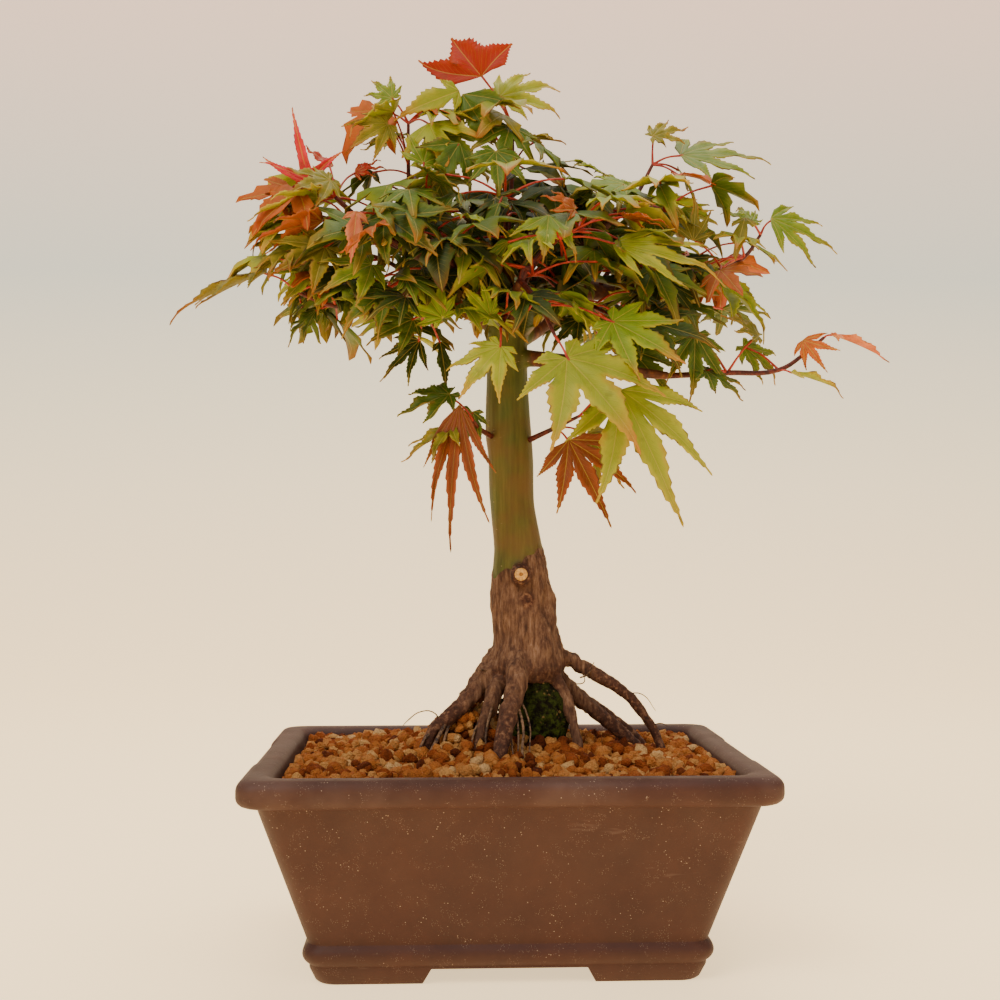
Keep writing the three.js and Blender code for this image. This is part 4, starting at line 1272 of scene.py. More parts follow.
@dataclass
class LeafPattern:
    """The flat leaf that leaves are copied from."""

    lobes: Sequence[Lobe]
    web: Sequence[float] = (0.0, 0.05, 0.1, 0.15, 0.215, 0.28)
    teeth: int = 8
    columns: int = 4
    outer_angle: float = 26.0
    bulge_at: float = 0.36
    tooth: float = 0.19
    slender: float = 0.1             # lobes thinner than this part nearer to the leaf's base
    small: float = 0.4               # and so do lobes shorter than this
    notches: tuple[float, float] = (0.15, 0.28)

    def edge(self, lobe: Lobe, neighbour: Lobe | None, distance: float, toothed: bool) -> float:
        """Gives the half width of a lobe on one side at a distance from the leaf's base.

        Args:
            lobe: The lobe.
            neighbour: The lobe on that side.
            distance: Share of the middle lobe's length.
            toothed: Whether a tooth stands out here.

        Returns:
            The half width, as a share of the middle lobe's length.
        """
        apart = self.outer_angle if neighbour is None else abs(lobe.angle - neighbour.angle) / 2
        spread = math.radians(apart)
        shallow = neighbour is None or min(lobe.length, neighbour.length) < self.small
        shallow = shallow or min(lobe.half, neighbour.half) < self.slender
        notch = self.notches[0] if shallow else self.notches[1]
        if distance <= notch + 1e-6:
            return distance * math.tan(spread)
        start = notch * math.tan(spread)
        run = (distance - notch) / (lobe.length - notch)
        if run < self.bulge_at:
            width = start + (lobe.half - start) * math.sin(math.pi / 2 * run / self.bulge_at)
        else:
            width = lobe.half * (1 - (run - self.bulge_at) / (1 - self.bulge_at)) ** 1.35
        return max(0.0, width + (self.tooth * lobe.half * (1 - run) ** 0.4 if toothed else 0.0))

    def lobe(self, index: int) -> bpy.types.Object:
        """Shapes one lobe from a grid.

        Args:
            index: The lobe's number.

        Returns:
            The lobe.
        """
        lobe = self.lobes[index]
        before = self.lobes[index - 1] if index > 0 else None
        after = self.lobes[index + 1] if index + 1 < len(self.lobes) else None
        small = lobe.length < self.small
        web = [d for d in self.web if d < 0.16] if small else list(self.web)
        extra = self.teeth if small else 2 * self.teeth
        step = (lobe.length - web[-1]) / extra
        rows = [*web, *(web[-1] + step * (i + 1) for i in range(extra))]
        put_down()
        bpy.ops.mesh.primitive_grid_add(x_subdivisions=len(rows) - 1, y_subdivisions=self.columns, size=2)
        grid = named("lobe")
        angle = math.radians(lobe.angle)
        flat, veins = [], []
        for x, y, _ in coordinates(grid.data):
            row = round((x + 1) / 2 * (len(rows) - 1))
            distance = rows[row]
            free = distance > web[-1]
            toothed = free and (row - len(web)) % 2 == 0 and row < len(rows) - 1
            width = self.edge(lobe, before if y > 0 else after, distance, toothed) * y
            forward = distance + (step * 0.55 * abs(y) if toothed else 0.0)
            flat.append((forward * math.cos(angle) - width * math.sin(angle),
                         forward * math.sin(angle) + width * math.cos(angle), 0.0))
            rim = abs(y) if free else abs(y) * 0.4
            veins.append((abs(width), distance, max(rim, smooth(0.75, 1.0, distance / lobe.length))))
        set_coordinates(grid.data, np.array(flat))
        set_attribute(grid.data, "vein", np.array(veins))
        return grid

    def build(self, name: str) -> bpy.types.Object:
        """Joins the lobes into the flat pattern.

        Args:
            name: The pattern's name.

        Returns:
            The pattern.
        """
        pattern = join([self.lobe(i) for i in range(len(self.lobes))], name)
        bpy.ops.object.mode_set(mode="EDIT")
        bpy.ops.mesh.select_all(action="SELECT")
        bpy.ops.mesh.remove_doubles(threshold=0.0008)
        bpy.ops.object.mode_set(mode="OBJECT")
        return pattern


@dataclass(frozen=True)
class Leaf:
    """A leaf: the twig point that it grows from, its base, its middle lobe's tip and its facing."""

    at: int
    base: Point
    tip: Point
    facing: Point
    tone: Tone
    form: Form = Form.STAR
    spread: float = 1.0


@dataclass(frozen=True)
class Shoot:
    """A year's shoot: its name, its twig's points and its leaves."""

    name: str
    slot: str
    twig: Sequence[Point]
    leaves: Sequence[Leaf]


def leaf_rows(*rows: Sequence[Any]) -> tuple[Leaf, ...]:
    """Turns rows of leaf values into leaves."""
    return tuple(Leaf(*row) for row in rows)


T = Tone
F = Form
PLACED_SHOOTS = (
    Shoot("top", "leaf_red", ((1, 0, 214), (2, 1, 228), (3, 2, 243), (3, 2, 256)), leaf_rows(
        (3, (-7, -4, 270), (-17, -2, 291), FRONT, T.RED, F.THREE, 1.2),
        (3, (-1, 4, 266), (19, 8, 274), TILT, T.LIME),
        (2, (-13, -8, 263), (-3, -13, 246), FRONT, T.GREEN, F.BROAD, 0.7),
        (3, (5, 2, 252), (20, 2, 253), UP, T.OLIVE),
        (2, (-3, -16, 243), (-2, -24, 227), FRONT, T.GREEN))),
    Shoot("top_left", "leaf_lime", ((-24, -7, 211), (-29, 2, 226), (-30, 4, 244), (-30, 3, 257)), leaf_rows(
        (3, (-14, -8, 264), (-33, -14, 255), FRONT, T.LIME, F.STRAP),
        (3, (-35, 0, 264), (-42, 4, 272), FRONT, T.FRESH),
        (2, (-34, -6, 258), (-50, -14, 252), UP, T.LIME, F.SLIM),
        (2, (-36, -9, 253), (-48, -16, 244), TILT, T.OLIVE),
        (2, (-33, 9, 255), (-46, 14, 252), UP, T.FRESH))),
    Shoot("upper_left", "leaf_green", ((-14, -6, 206), (-20, -12, 218), (-24, -17, 230)), leaf_rows(
        (2, (-25, -16, 239), (-22, -11, 252), FRONT, T.FRESH),
        (2, (-24, -24, 234), (-12, -34, 228), UP, T.GREEN),
        (2, (-14, -14, 246), (-22, -20, 231), FRONT, T.GREEN, F.BROAD, 0.8),
        (2, (-20, -8, 250), (-6, -14, 238), TILT, T.FRESH))),
    Shoot("front_left", "leaf_green", ((-20, -8, 210), (-24, -18, 215), (-30, -26, 217)), leaf_rows(
        (1, (-13, -30, 220), (0, -38, 216), UP, T.FRESH),
        (2, (-36, -32, 219), (-21, -46, 206), TILT, T.GREEN),
        (2, (-44, -34, 220), (-45, -41, 205), FRONT, T.SALMON, F.STRAP))),
    Shoot("pink_tip", "leaf_pink", (
        (-32, -10, 215), (-43, -10, 222), (-52, -10, 230), (-58, -10, 235)), leaf_rows(
        (3, (-60, -10, 235), (-66, -14, 257), FRONT, T.PINK, F.WISP, 1.2),
        (3, (-58, -12, 234), (-74, -16, 240), FRONT, T.PINK, F.WISP),
        (2, (-54, -3, 241), (-62, 0, 249), TILT, T.RED, F.STRAP),
        (2, (-47, 3, 241), (-37, 0, 243), TILT, T.RED, F.SLIM),
        (2, (-53, -18, 233), (-64, -28, 228), TILT, T.OLIVE))),
    Shoot("left_fan", "leaf_orange", ((-28, -10, 213), (-40, -15, 219), (-49, -17, 223)), leaf_rows(
        (2, (-56, -16, 228), (-78, -24, 223), UP, T.LIME, F.SLIM),
        (2, (-55, -20, 220), (-77, -28, 215), UP, T.ORANGE, F.SLIM),
        (1, (-54, -22, 212), (-69, -31, 203), TILT, T.OLIVE))),
    Shoot("left_drooping", "leaf_green", ((-30, -8, 214), (-46, -3, 222), (-60, -1, 227)), leaf_rows(
        (2, (-67, 0, 230), (-82, 2, 217), UP, T.FRESH), (1, (-52, 4, 232), (-66, 10, 234), UP, T.LIME))),
    Shoot("far_left", "leaf_olive", ((-38, -6, 198), (-52, -6, 197), (-64, -8, 201)), leaf_rows(
        (2, (-73, -8, 207), (-103, -16, 195), UP, T.OLIVE, F.SLIM),
        (1, (-58, -4, 196), (-69, -4, 187), TILT, T.GREEN),
        (1, (-57, -14, 208), (-67, -22, 196), TILT, T.FRESH))),
    Shoot("lower_left", "leaf_green", ((-14, -6, 196), (-20, -14, 195), (-25, -19, 192)), leaf_rows(
        (1, (-19, -28, 190), (-28, -26, 203), FRONT, T.FRESH),
        (2, (-28, -19, 191), (-41, -26, 184), TILT, T.GREEN),
        (2, (-26, -10, 186), (-39, -10, 174), TILT, T.DEEP, F.SLIM),
        (2, (-20, -2, 187), (-17, -3, 172), FRONT, T.DEEP, F.STRAP))),
    Shoot("left_broad", "leaf_green", ((-32, -6, 198), (-36, -14, 201), (-38, -20, 203)), leaf_rows(
        (2, (-40, -26, 206), (-54, -36, 198), TILT, T.FRESH),
        (2, (-36, -26, 198), (-49, -33, 187), TILT, T.GREEN))),
    Shoot("front_middle", "leaf_lime", ((3, -14, 196), (0, -22, 192), (-2, -28, 187)), leaf_rows(
        (2, (-2, -33, 181), (-15, -40, 167), TILT, T.LIME),
        (1, (-5, -27, 191), (-14, -30, 200), FRONT, T.FRESH))),
    Shoot("trunk_left", "leaf_orange", ((-4, -5, 157), (-8, -12, 159), (-10, -16, 161)), leaf_rows(
        (2, (-14, -24, 165), (-19, -38, 124), FRONT, T.BROWN, F.SLIM, 0.45),
        (1, (-17, -14, 169), (-33, -16, 163), TILT, T.GREEN),
        (2, (-16, -24, 158), (-32, -30, 150), UP, T.OLIVE, F.SLIM),
        (1, (-10, -12, 164), (-14, -14, 151), FRONT, T.GREEN))),
    Shoot("trunk_right", "leaf_orange", ((8, -4, 156), (15, -11, 159), (22, -20, 162)), leaf_rows(
        (1, (19, -17, 155), (31, -26, 130), TILT, T.BROWN, F.SLIM),
        (1, (26, -4, 158), (40, 0, 142), TILT, T.OLIVE),
        (2, (32, -38, 168), (50, -49, 130), TILT, T.LIME, F.SLIM))),
    Shoot("front_right", "leaf_lime", ((4, -24, 202), (9, -35, 193), (13, -41, 183)), leaf_rows(
        (2, (16, -45, 176), (36, -60, 153), TILT, T.LIME),
        (1, (30, -36, 188), (50, -46, 176), TILT, T.FRESH))),
    Shoot("right_broad", "leaf_green", ((20, 1, 205), (27, -10, 197), (34, -18, 192)), leaf_rows(
        (2, (40, -25, 190), (62, -34, 184), TILT, T.DEEP),
        (1, (39, -6, 184), (54, -8, 169), TILT, T.GREEN),
        (1, (22, -22, 191), (12, -26, 182), TILT, T.DEEP))),
    Shoot("right_low", "leaf_olive", ((50, -14, 175), (68, -14, 176), (84, -14, 177),
          (92, -14, 182), (98, -14, 187)), leaf_rows(
        (3, (91, -16, 186), (97, -20, 176), FRONT, T.ORANGE, F.SLIM),
        (4, (100, -14, 188), (119, -15, 182), UP, T.SALMON, F.STRAP),
        (2, (87, -16, 176), (103, -21, 171), UP, T.LIME, F.STRAP),
        (2, (74, -9, 185), (86, -10, 175), TILT, T.FRESH),
        (1, (77, -17, 187), (66, -20, 194), TILT, T.OLIVE),
        (1, (60, -20, 176), (71, -27, 168), UP, T.GREEN),
        (1, (57, -20, 187), (56, -24, 167), FRONT, T.GREEN))),
    Shoot("right_high", "leaf_olive", ((60, 2, 209), (70, 2, 211), (77, 2, 215), (82, 1, 222)), leaf_rows(
        (3, (85, 0, 227), (109, 2, 219), TILT, T.FRESH, F.SLIM),
        (2, (66, -4, 208), (84, -10, 190), UP, T.FRESH),
        (1, (58, -12, 217), (60, -10, 233), FRONT, T.OLIVE, F.SLIM),
        (3, (80, 6, 227), (78, 14, 236), TILT, T.FRESH))),
    Shoot("upper_right", "leaf_lime", ((34, 4, 226), (42, 4, 234), (48, 4, 245)), leaf_rows(
        (2, (48, 4, 254), (60, 6, 258), TILT, T.OLIVE),
        (2, (57, 4, 248), (88, 8, 251), TILT, T.FRESH, F.SLIM),
        (1, (32, 4, 242), (20, 2, 248), UP, T.FRESH),
        (1, (46, -5, 231), (66, -6, 229), TILT, T.LIME, F.BROAD, 0.6),
        (1, (40, -8, 233), (27, -12, 236), TILT, T.FRESH))),
    Shoot("front_high", "leaf_orange", ((3, -12, 196), (9, -24, 208), (15, -32, 213)), leaf_rows(
        (2, (19, -38, 220), (10, -43, 224), TILT, T.ORANGE),
        (2, (11, -44, 217), (9, -55, 203), TILT, T.FRESH, F.BROAD, 0.6),
        (2, (34, -30, 220), (47, -36, 218), UP, T.ORANGE, F.SLIM),
        (2, (30, -35, 211), (62, -45, 204), TILT, T.LIME, F.SLIM, 0.6))),
    # its dark green leaves paint the shade behind the trunk
    Shoot("middle_dark", "leaf_green", ((6, 14, 201), (8, 16, 218), (9, 17, 234)), leaf_rows(
        (2, (13, 14, 242), (6, 7, 221), FRONT, T.DEEP, F.BROAD),
        (2, (-4, 14, 238), (-10, 7, 219), FRONT, T.DEEP, F.BROAD),
        (1, (22, 14, 234), (27, 8, 216), FRONT, T.DEEP))),
)


@dataclass
class InfillRule:
    """The rule that spreads the other shoots through the crown, as the part does."""

    centre: Point = (4, 4, 208)
    radii: Point = (78, 54, 46)
    shoots: int = 18
    leaf: float = 18.0
    seed: int = 2718
    lowest: float = -0.35
    highest: float = 0.9
    front: float = -0.25
    reach_front: float = 0.5
    reach: float = 0.74
    reach_range: float = 0.12
    turns: Point = (-1.35, 0, 1.35)
    turn_range: float = 0.3
    stalk: tuple[float, float] = (14, 5)
    size: tuple[float, float] = (0.85, 0.35)
    pitch: tuple[float, float] = (0.15, 0.45)
    lift: tuple[float, float] = (3, 4)
    arch: float = 3.0
    slots: tuple[str, ...] = ("green", "lime", "green", "lime", "olive", "green")
    golden: float = 137.508
    forms: tuple[Form, ...] = (F.STAR, F.BROAD, F.SLIM)

    def random(self) -> float:
        """Draws the next of the part's repeatable random numbers."""
        self.seed = self.seed * 16807 % 2147483647
        return self.seed / 2147483647

    def drawn(self, pair: tuple[float, float]) -> float:
        """Draws a value from a least value and a range."""
        return pair[0] + pair[1] * self.random()

    def tones(self, slot: str, k: int) -> tuple[Tone, ...]:
        """Chooses the tones of a shoot's leaves.

        Args:
            slot: Which of the three colourings the shoot has.
            k: The shoot's number.

        Returns:
            Three tones.
        """
        sets = {"green": (T.GREEN, T.DEEP, T.FRESH), "lime": (T.FRESH, T.LIME, T.GREEN),
                "olive": (T.OLIVE, T.FRESH, T.LIME)}[slot]
        return sets[k % 3:] + sets[:k % 3]

    def build(self) -> list[Shoot]:
        """Works the shoots out.

        Returns:
            The shoots.
        """
        anchors = [Vector(p) for points, _ in LIMBS.values() for p in points[1:]]
        shoots = []
        for k in range(self.shoots):
            azimuth = math.radians(k * self.golden)
            rise = self.lowest + (self.highest - self.lowest) * (k + 0.5) / self.shoots
            level = math.sqrt(1 - rise * rise)
            outward = (level * math.cos(azimuth), level * math.sin(azimuth), rise)
            least = self.reach_front if outward[1] < self.front else self.reach
            reach = self.drawn((least, self.reach_range))
            tip = Vector([c + share * r * reach for c, share, r in zip(self.centre, outward, self.radii)])
            anchor = min(anchors, key=lambda p: (p - tip).length)
            bend = anchor.lerp(tip, 0.5) + Vector((0, 0, self.arch))
            heading = math.atan2(tip.y - anchor.y, tip.x - anchor.x)
            slot = self.slots[k % len(self.slots)]
            leaves = []
            for turn, tone, form in zip(self.turns, self.tones(slot, k), self.forms):
                direction = heading + turn + self.turn_range * (self.random() - 0.5)
                stalk = self.drawn(self.stalk)
                size = self.leaf * self.drawn(self.size)
                pitch = self.drawn(self.pitch)
                run = size * math.cos(pitch)
                east, north = math.cos(direction), math.sin(direction)
                base = tip + Vector((stalk * east, stalk * north, self.drawn(self.lift)))
                end = base + Vector((run * east, run * north, -size * math.sin(pitch)))
                leaves.append(Leaf(2, tuple(base), tuple(end), UP, tone, form))
            shoots.append(Shoot(f"infill_{k + 1:02d}", f"leaf_{slot}", (anchor, bend, tip), leaves))
        return shoots


@dataclass
class Companions:
    """The rule that adds leaves between those of a shoot, so that the crown closes."""

    centre: Point = (2, 2, 214)
    radii: Point = (88, 58, 56)
    lowest: float = 187.0
    lowest_right: float = 176.0
    forms: tuple[Form, ...] = (F.STAR, F.STAR, F.BROAD, F.BROAD, F.SLIM, F.STRAP)
    seed: int = 1207

    def depth(self, point: Vector) -> float:
        """Gives how far out a place is, from 0 in the crown's middle to 1 on its outside."""
        return math.sqrt(sum(((a - c) / r) ** 2 for a, c, r in zip(point, self.centre, self.radii)))

    def fits(self, point: Vector) -> bool:
        """Tells whether a leaf's end may be at a place."""
        return self.depth(point) < 1 and point.z > (self.lowest_right if point.x > 25 else self.lowest)

    def tone(self, depth: float, rng: random.Random) -> Tone:
        """Chooses a tone: dark green as painted shade inside the crown, and mostly fresh outside it.

        Args:
            depth: How far out the leaf is.
            rng: The shoot's random numbers.

        Returns:
            The tone.
        """
        # painted shade: the deeper a leaf sits in the crown, the more often it takes the dark green
        if depth < 0.5:
            return rng.choice((T.DEEP, T.DEEP, T.GREEN))
        if depth < 0.75:
            return rng.choice((T.DEEP, T.GREEN, T.GREEN, T.FRESH))
        return rng.choice((T.GREEN, T.FRESH, T.FRESH, T.LIME, T.LIME, T.OLIVE, T.OLIVE, T.ORANGE))

    def build(self, shoot: Shoot, count: int) -> list[Leaf]:
        """Places further leaves on a shoot.

        Args:
            shoot: The shoot.
            count: How many leaves are tried for.

        Returns:
            The leaves that fit.
        """
        rng = random.Random(f"{self.seed}{shoot.name}")
        leaves = []
        for _ in range(count * 6):
            if len(leaves) == count:
                break
            model = rng.choice(shoot.leaves)
            at = rng.randrange(1, len(shoot.twig))
            away = Vector(model.base) - Vector(shoot.twig[model.at])
            heading = math.atan2(away.y, away.x) + rng.choice((-1, 1)) * rng.uniform(0.6, 1.9)
            stalk, size, pitch = rng.uniform(8, 16), rng.uniform(14, 22), rng.uniform(0.2, 0.95)
            turn = heading + rng.uniform(-0.5, 0.5)
            base = Vector(shoot.twig[at]) + Vector((stalk * math.cos(heading), stalk * math.sin(heading),
                                                    rng.uniform(-5, 5)))
            run = size * math.cos(pitch)
            tip = base + Vector((run * math.cos(turn), run * math.sin(turn), -size * math.sin(pitch)))
            facing = (rng.uniform(-0.4, 0.4), rng.uniform(-0.8, 0.1), 1)
            if self.fits(base) and self.fits(tip):
                form = rng.choice(self.forms)
                tone = self.tone(self.depth(base), rng)
                leaves.append(Leaf(at, tuple(base), tuple(tip), facing, tone, form))
        return leaves


@dataclass
class Foliage:
    """Builds every shoot from the flat leaf patterns."""

    leaf_finish: bpy.types.Material
    twig_finish: bpy.types.Material
    stalk_finish: bpy.types.Material
    fine: dict[Form, bpy.types.Object]
    coarse: dict[Form, bpy.types.Object]
    twig_radii: tuple[float, float] = (0.95, 0.5)
    stalk_radius: float = 0.3
    thickness: float = 0.26
    uneven: tuple[float, float] = (0.02, 0.12)       # how unlike its two halves are
    opening: tuple[float, float] = (0.78, 1.0)       # how far its lobes spread
    sweep: float = 0.28                              # how far they sweep to one side
    roll: float = 0.4
    fall: tuple[float, float] = (0.9, 2.0)
    fold: tuple[float, float] = (0.15, 0.7)
    curl: tuple[float, float] = (-0.4, 1.8)
    tip_tint: tuple[float, float] = (0.3, 1.0)
    shade: tuple[float, float] = (0.75, 1.15)
    placed_extra: int = 6                            # leaves added to a placed shoot, and to an infill
    infill_extra: int = 7
    seed: int = 77

    def leaf(self, leaf: Leaf, pattern: bpy.types.Object, rng: random.Random) -> bpy.types.Object:
        """Copies a pattern, bends it into place and tints it.

        Args:
            leaf: The leaf's place and tone.
            pattern: The flat leaf.
            rng: The shoot's random numbers.

        Returns:
            The leaf.
        """
        obj = pattern.copy()
        obj.data = pattern.data.copy()
        bpy.context.collection.objects.link(obj)
        flat = coordinates(obj.data)
        veins = np.empty(len(flat) * 3, dtype=np.float32)
        obj.data.attributes["vein"].data.foreach_get("vector", veins)
        veins = veins.reshape(-1, 3)
        angle = np.arctan2(flat[:, 1], flat[:, 0])
        aside = np.abs(np.sin(angle))
        uneven = rng.uniform(*self.uneven) * np.sin(2 * angle + rng.uniform(0, math.tau)) * aside
        reach = np.hypot(flat[:, 0], flat[:, 1]) * (1 + uneven)
        opened = angle * leaf.spread * rng.uniform(*self.opening)
        angle = opened + rng.uniform(-self.sweep, self.sweep) * reach ** 2 * aside
        forward, side = reach * np.cos(angle), reach * np.sin(angle)
        along = Vector(leaf.tip) - Vector(leaf.base)
        length = along.length
        along.normalize()
        up = (Vector(leaf.facing) - along * Vector(leaf.facing).dot(along)).normalized()
        across = up.cross(along)
        roll = rng.uniform(-self.roll, self.roll)
        cosine, sine = math.cos(roll), math.sin(roll)
        up, across = up * cosine + across * sine, across * cosine - up * sine
        fall = DROOP * length * reach * (reach - forward * DROOP_SAVED) * rng.uniform(*self.fall)
        fold = veins[:, 0] * length * rng.uniform(*self.fold)
        phase = rng.uniform(0, math.tau)
        wave = 0.5 * veins[:, 2] * np.sin(veins[:, 1] * 17 + phase + angle * 2) * np.minimum(1, reach * 3)
        curl = rng.uniform(*self.curl) * length * 0.1 * smooth(0.7, 1.05, reach) ** 2
        lift = fold + wave - fall - curl
        rows = (np.array(leaf.base) + np.outer(forward * length, along) + np.outer(side * length, across)
                + np.outer(lift, up))
        set_coordinates(obj.data, rows * MM + np.array(POT_ORIGIN))
        set_attribute(obj.data, "vein", veins * np.array((length, length, 1.0)))
        inner, outer, end = (np.array(colour(code)) for code in leaf.tone.value)
        share = smooth(0.25, 0.95, veins[:, 2])[:, None]
        tips = smooth(0.55, 1.0, reach)[:, None] * rng.uniform(*self.tip_tint)
        tint = inner * (1 - share) + outer * share
        tint = (tint * (1 - tips) + end * tips) * rng.uniform(*self.shade)
        set_attribute(obj.data, "tone", np.clip(tint, 0, 1))
        return obj

    def shoot(self, shoot: Shoot, patterns: dict[Form, bpy.types.Object],
              extra: Sequence[Leaf]) -> bpy.types.Object:
        """Makes one shoot with its twig, stalks and leaves.

        Args:
            shoot: The shoot.
            patterns: The flat leaves that its own leaves are copied from.
            extra: Further leaves, which are coarse.

        Returns:
            The shoot.
        """
        rng = random.Random(f"{self.seed}{shoot.name}")
        leaves = [*shoot.leaves, *extra]
        own = [self.leaf(leaf, patterns[leaf.form], rng) for leaf in shoot.leaves]
        blades = join([*own, *(self.leaf(leaf, self.coarse[leaf.form], rng) for leaf in extra)], "blades")
        blades.data.materials.clear()
        blades.data.materials.append(self.leaf_finish)
        modify(blades, "SOLIDIFY", thickness=self.thickness * MM, offset=0)
        twig = tubes("twig", [(shoot.twig, even_radii(self.twig_radii, len(shoot.twig)))], 2, 5)
        twig.data.materials.append(self.twig_finish)
        lines = []
        for leaf in leaves:
            start, end = Vector(shoot.twig[leaf.at]), Vector(leaf.base)
            bend = start.lerp(end, 0.5) + Vector((0, 0, (end - start).length * 0.08))
            heel = end.lerp(Vector(leaf.tip), 0.03)
            radii = (self.stalk_radius * 1.5, self.stalk_radius, self.stalk_radius * 1.2)
            lines.append(((start, bend, heel), radii))
        stalks = tubes("stalks", lines, 1, 5)
        stalks.data.materials.append(self.stalk_finish)
        piece = join([blades, twig, stalks], f"maple_shoot_{shoot.name}")
        bpy.ops.object.shade_smooth()
        return piece

    def build(self) -> None:
        """Makes every shoot and hands it over."""
        companions = Companions()
        for shoot in PLACED_SHOOTS:
            extra = companions.build(shoot, self.placed_extra)
            hand_over(self.shoot(shoot, self.fine, extra), shoot.slot, f"shoot_{shoot.name}")
        for shoot in InfillRule().build():
            extra = companions.build(shoot, self.infill_extra)
            hand_over(self.shoot(shoot, self.coarse, extra), shoot.slot, f"shoot_{shoot.name}")
        for pattern in (*self.fine.values(), *self.coarse.values()):
            bpy.data.objects.remove(pattern, do_unlink=True)


# ---------------------------------------------------------------- studio


@dataclass
class Studio:
    """Floor, lights and camera."""

    camera_place: Point = (-19.2, -437.6, 123.6)
    camera_pitch: float = 91.805
    camera_yaw: float = -2.378
    lens: float = 50.36
    floor_half: tuple[float, float] = (2.2, 1.6)     # metres
    wall: float = 2.4
    bend: float = 0.9
    lights: tuple = (
        # name, place, size, power, tint
        ("key_light", (-0.55, -0.75, 1.05), 0.7, 13, (1.0, 0.94, 0.85)),
        ("fill_light", (0.9, -0.8, 0.6), 0.8, 4, (1.0, 0.93, 0.84)),
        ("top_light", (0.1, 0.25, 1.2), 0.8, 9, (1.0, 0.95, 0.87)),
    )
    aim: Point = (0, 0, 0.13)
    air: tuple[float, float, float, float] = (1.0, 0.97, 0.94, 1)
    air_strength: float = 0.3

    def floor(self, finish: bpy.types.Material) -> None:
        """Makes the pale floor that rises into a backdrop.

        Args:
            finish: Its material.
        """
        put_down()
        bpy.ops.mesh.primitive_plane_add(size=2)
        sweep = named("studio_sweep")
        bpy.ops.object.mode_set(mode="EDIT")
        bpy.ops.mesh.select_all(action="SELECT")
        bpy.ops.transform.resize(value=(*self.floor_half, 1))
        bpy.ops.mesh.select_all(action="DESELECT")
        bpy.ops.object.mode_set(mode="OBJECT")
        for edge in sweep.data.edges:
            edge.select = all(sweep.data.vertices[v].co.y > 1 for v in edge.vertices)
        bpy.ops.object.mode_set(mode="EDIT")
        bpy.ops.mesh.select_mode(type="EDGE")
        bpy.ops.mesh.extrude_region_move(TRANSFORM_OT_translate={"value": (0, 0, self.wall)})
        bpy.ops.object.mode_set(mode="OBJECT")
        for edge in sweep.data.edges:
            edge.select = all(abs(sweep.data.vertices[v].co.y - self.floor_half[1]) < 0.01
                              and sweep.data.vertices[v].co.z < 0.01 for v in edge.vertices)
        bpy.ops.object.mode_set(mode="EDIT")
        bpy.ops.mesh.bevel(offset=self.bend, segments=24)
        bpy.ops.object.mode_set(mode="OBJECT")
        bpy.ops.object.shade_smooth()
        sweep.data.materials.append(finish)

    def light(self, name: str, where: Point, size: float, power: float, tint: Colour) -> None:
        """Adds a square soft light.

        Args:
            name: Its name.
            where: Its place in metres.
            size: Its side.
            power: Its watts.
            tint: Its colour.
        """
        put_down()
        bpy.ops.object.light_add(type="AREA", location=where)
        lamp = named(name)
        lamp.data.size = size
        lamp.data.energy = power
        lamp.data.color = tint
        lamp.rotation_euler = (Vector(self.aim) - Vector(where)).to_track_quat("-Z", "Y").to_euler()

    def build(self, finish: bpy.types.Material) -> None:
        """Sets the studio up.

        Args:
            finish: The floor's material.
        """
        self.floor(finish)
        for row in self.lights:
            self.light(*row)
        world = bpy.data.worlds.new("studio")
        world.use_nodes = True
        world.node_tree.nodes["Background"].inputs[0].default_value = self.air
        world.node_tree.nodes["Background"].inputs[1].default_value = self.air_strength
        bpy.context.scene.world = world
        put_down()
        bpy.ops.object.camera_add(location=place(self.camera_place))
        camera = named("camera")
        camera.rotation_euler = (math.radians(self.camera_pitch), 0, math.radians(self.camera_yaw))
        camera.data.lens = self.lens
        camera.data.sensor_width = 36
        camera.data.clip_end = 20
        bpy.context.scene.camera = camera


# ---------------------------------------------------------------- making it all


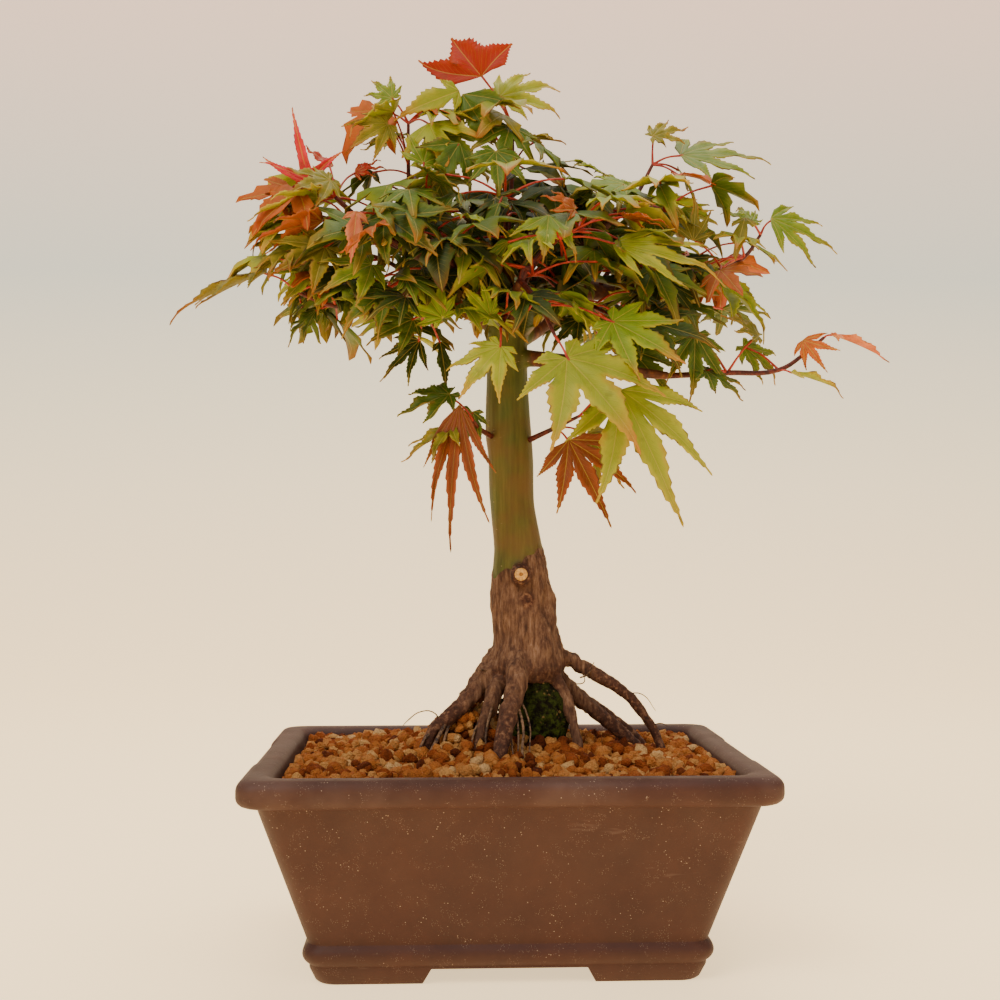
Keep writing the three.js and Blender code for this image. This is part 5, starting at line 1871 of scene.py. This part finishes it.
MOSS_ROOM = (10.5, 9.5)              # half widths of the place left for the moss
WOOD_CLEARANCE = 1.6


def wood_room(point: Vector) -> bool:
    """Tells whether moss or root wood takes a place in the soil.

    Args:
        point: The place in millimetres.

    Returns:
        Whether it is taken.
    """
    moss_x, moss_y, _ = MossBall.centre
    if math.hypot((point.x - moss_x) / MOSS_ROOM[0], (point.y - moss_y) / MOSS_ROOM[1]) < 1:
        return True
    for points, ends in ROOTS.values():
        for a, b in zip(points, points[1:]):
            a, b = Vector(a), Vector(b)
            share = min(1.0, max(0.0, (point - a).dot(b - a) / (b - a).length_squared))
            if (point - a.lerp(b, share)).length < ends[1] + WOOD_CLEARANCE:
                return True
    return False


def main() -> None:
    """Builds the tree piece by piece."""
    Studio().build(StudioSweep().material())
    hand_over(Pot().build(UnglazedClay().material()), "unglazed_clay", "pot")
    DrainScreens().dress(PlainGrowth("screen_plastic", colour("14181a"), colour("23292c"), 900).material())
    hair = PlainGrowth("hair_root", colour("2a1810"), colour("86664a"), 900).material()
    sawn = PlainGrowth("sawn_wood", colour("b9803c"), colour("dcb06a"), 1200).material()
    pith = PlainGrowth("pith", colour("7c4a1a"), colour("a06a2c"), 1500).material()
    wood = GrownWood().build(MapleBark().material(), sawn, pith, hair)
    hand_over(wood, "bark", "trunk_and_roots")
    moss = MossBall().build(MossAndPeat().material())
    hand_over(moss, "moss", "moss_ball")
    hand_over(SoilBed().build(Akadama().material(), wood_room), "akadama", "soil_bed")
    twigs = PlainGrowth("twig_bark", colour("3a1512"), colour("6b2a1c"), 700, 0.5).material()
    stalks = PlainGrowth("leaf_stalk", colour("8d2418"), colour("bb3b26"), 500, 0.45).material()
    fine = {form: LeafPattern(form.value).build(f"fine_{form.name}") for form in Form}
    coarse = {form: LeafPattern(form.value[1:-1] if form is Form.STAR else form.value, (0.0, 0.14, 0.28), 2,
                                2).build(f"coarse_{form.name}") for form in Form}
    Foliage(MapleLeaf().material(), twigs, stalks, fine, coarse).build()


if __name__ == "__main__":
    main()
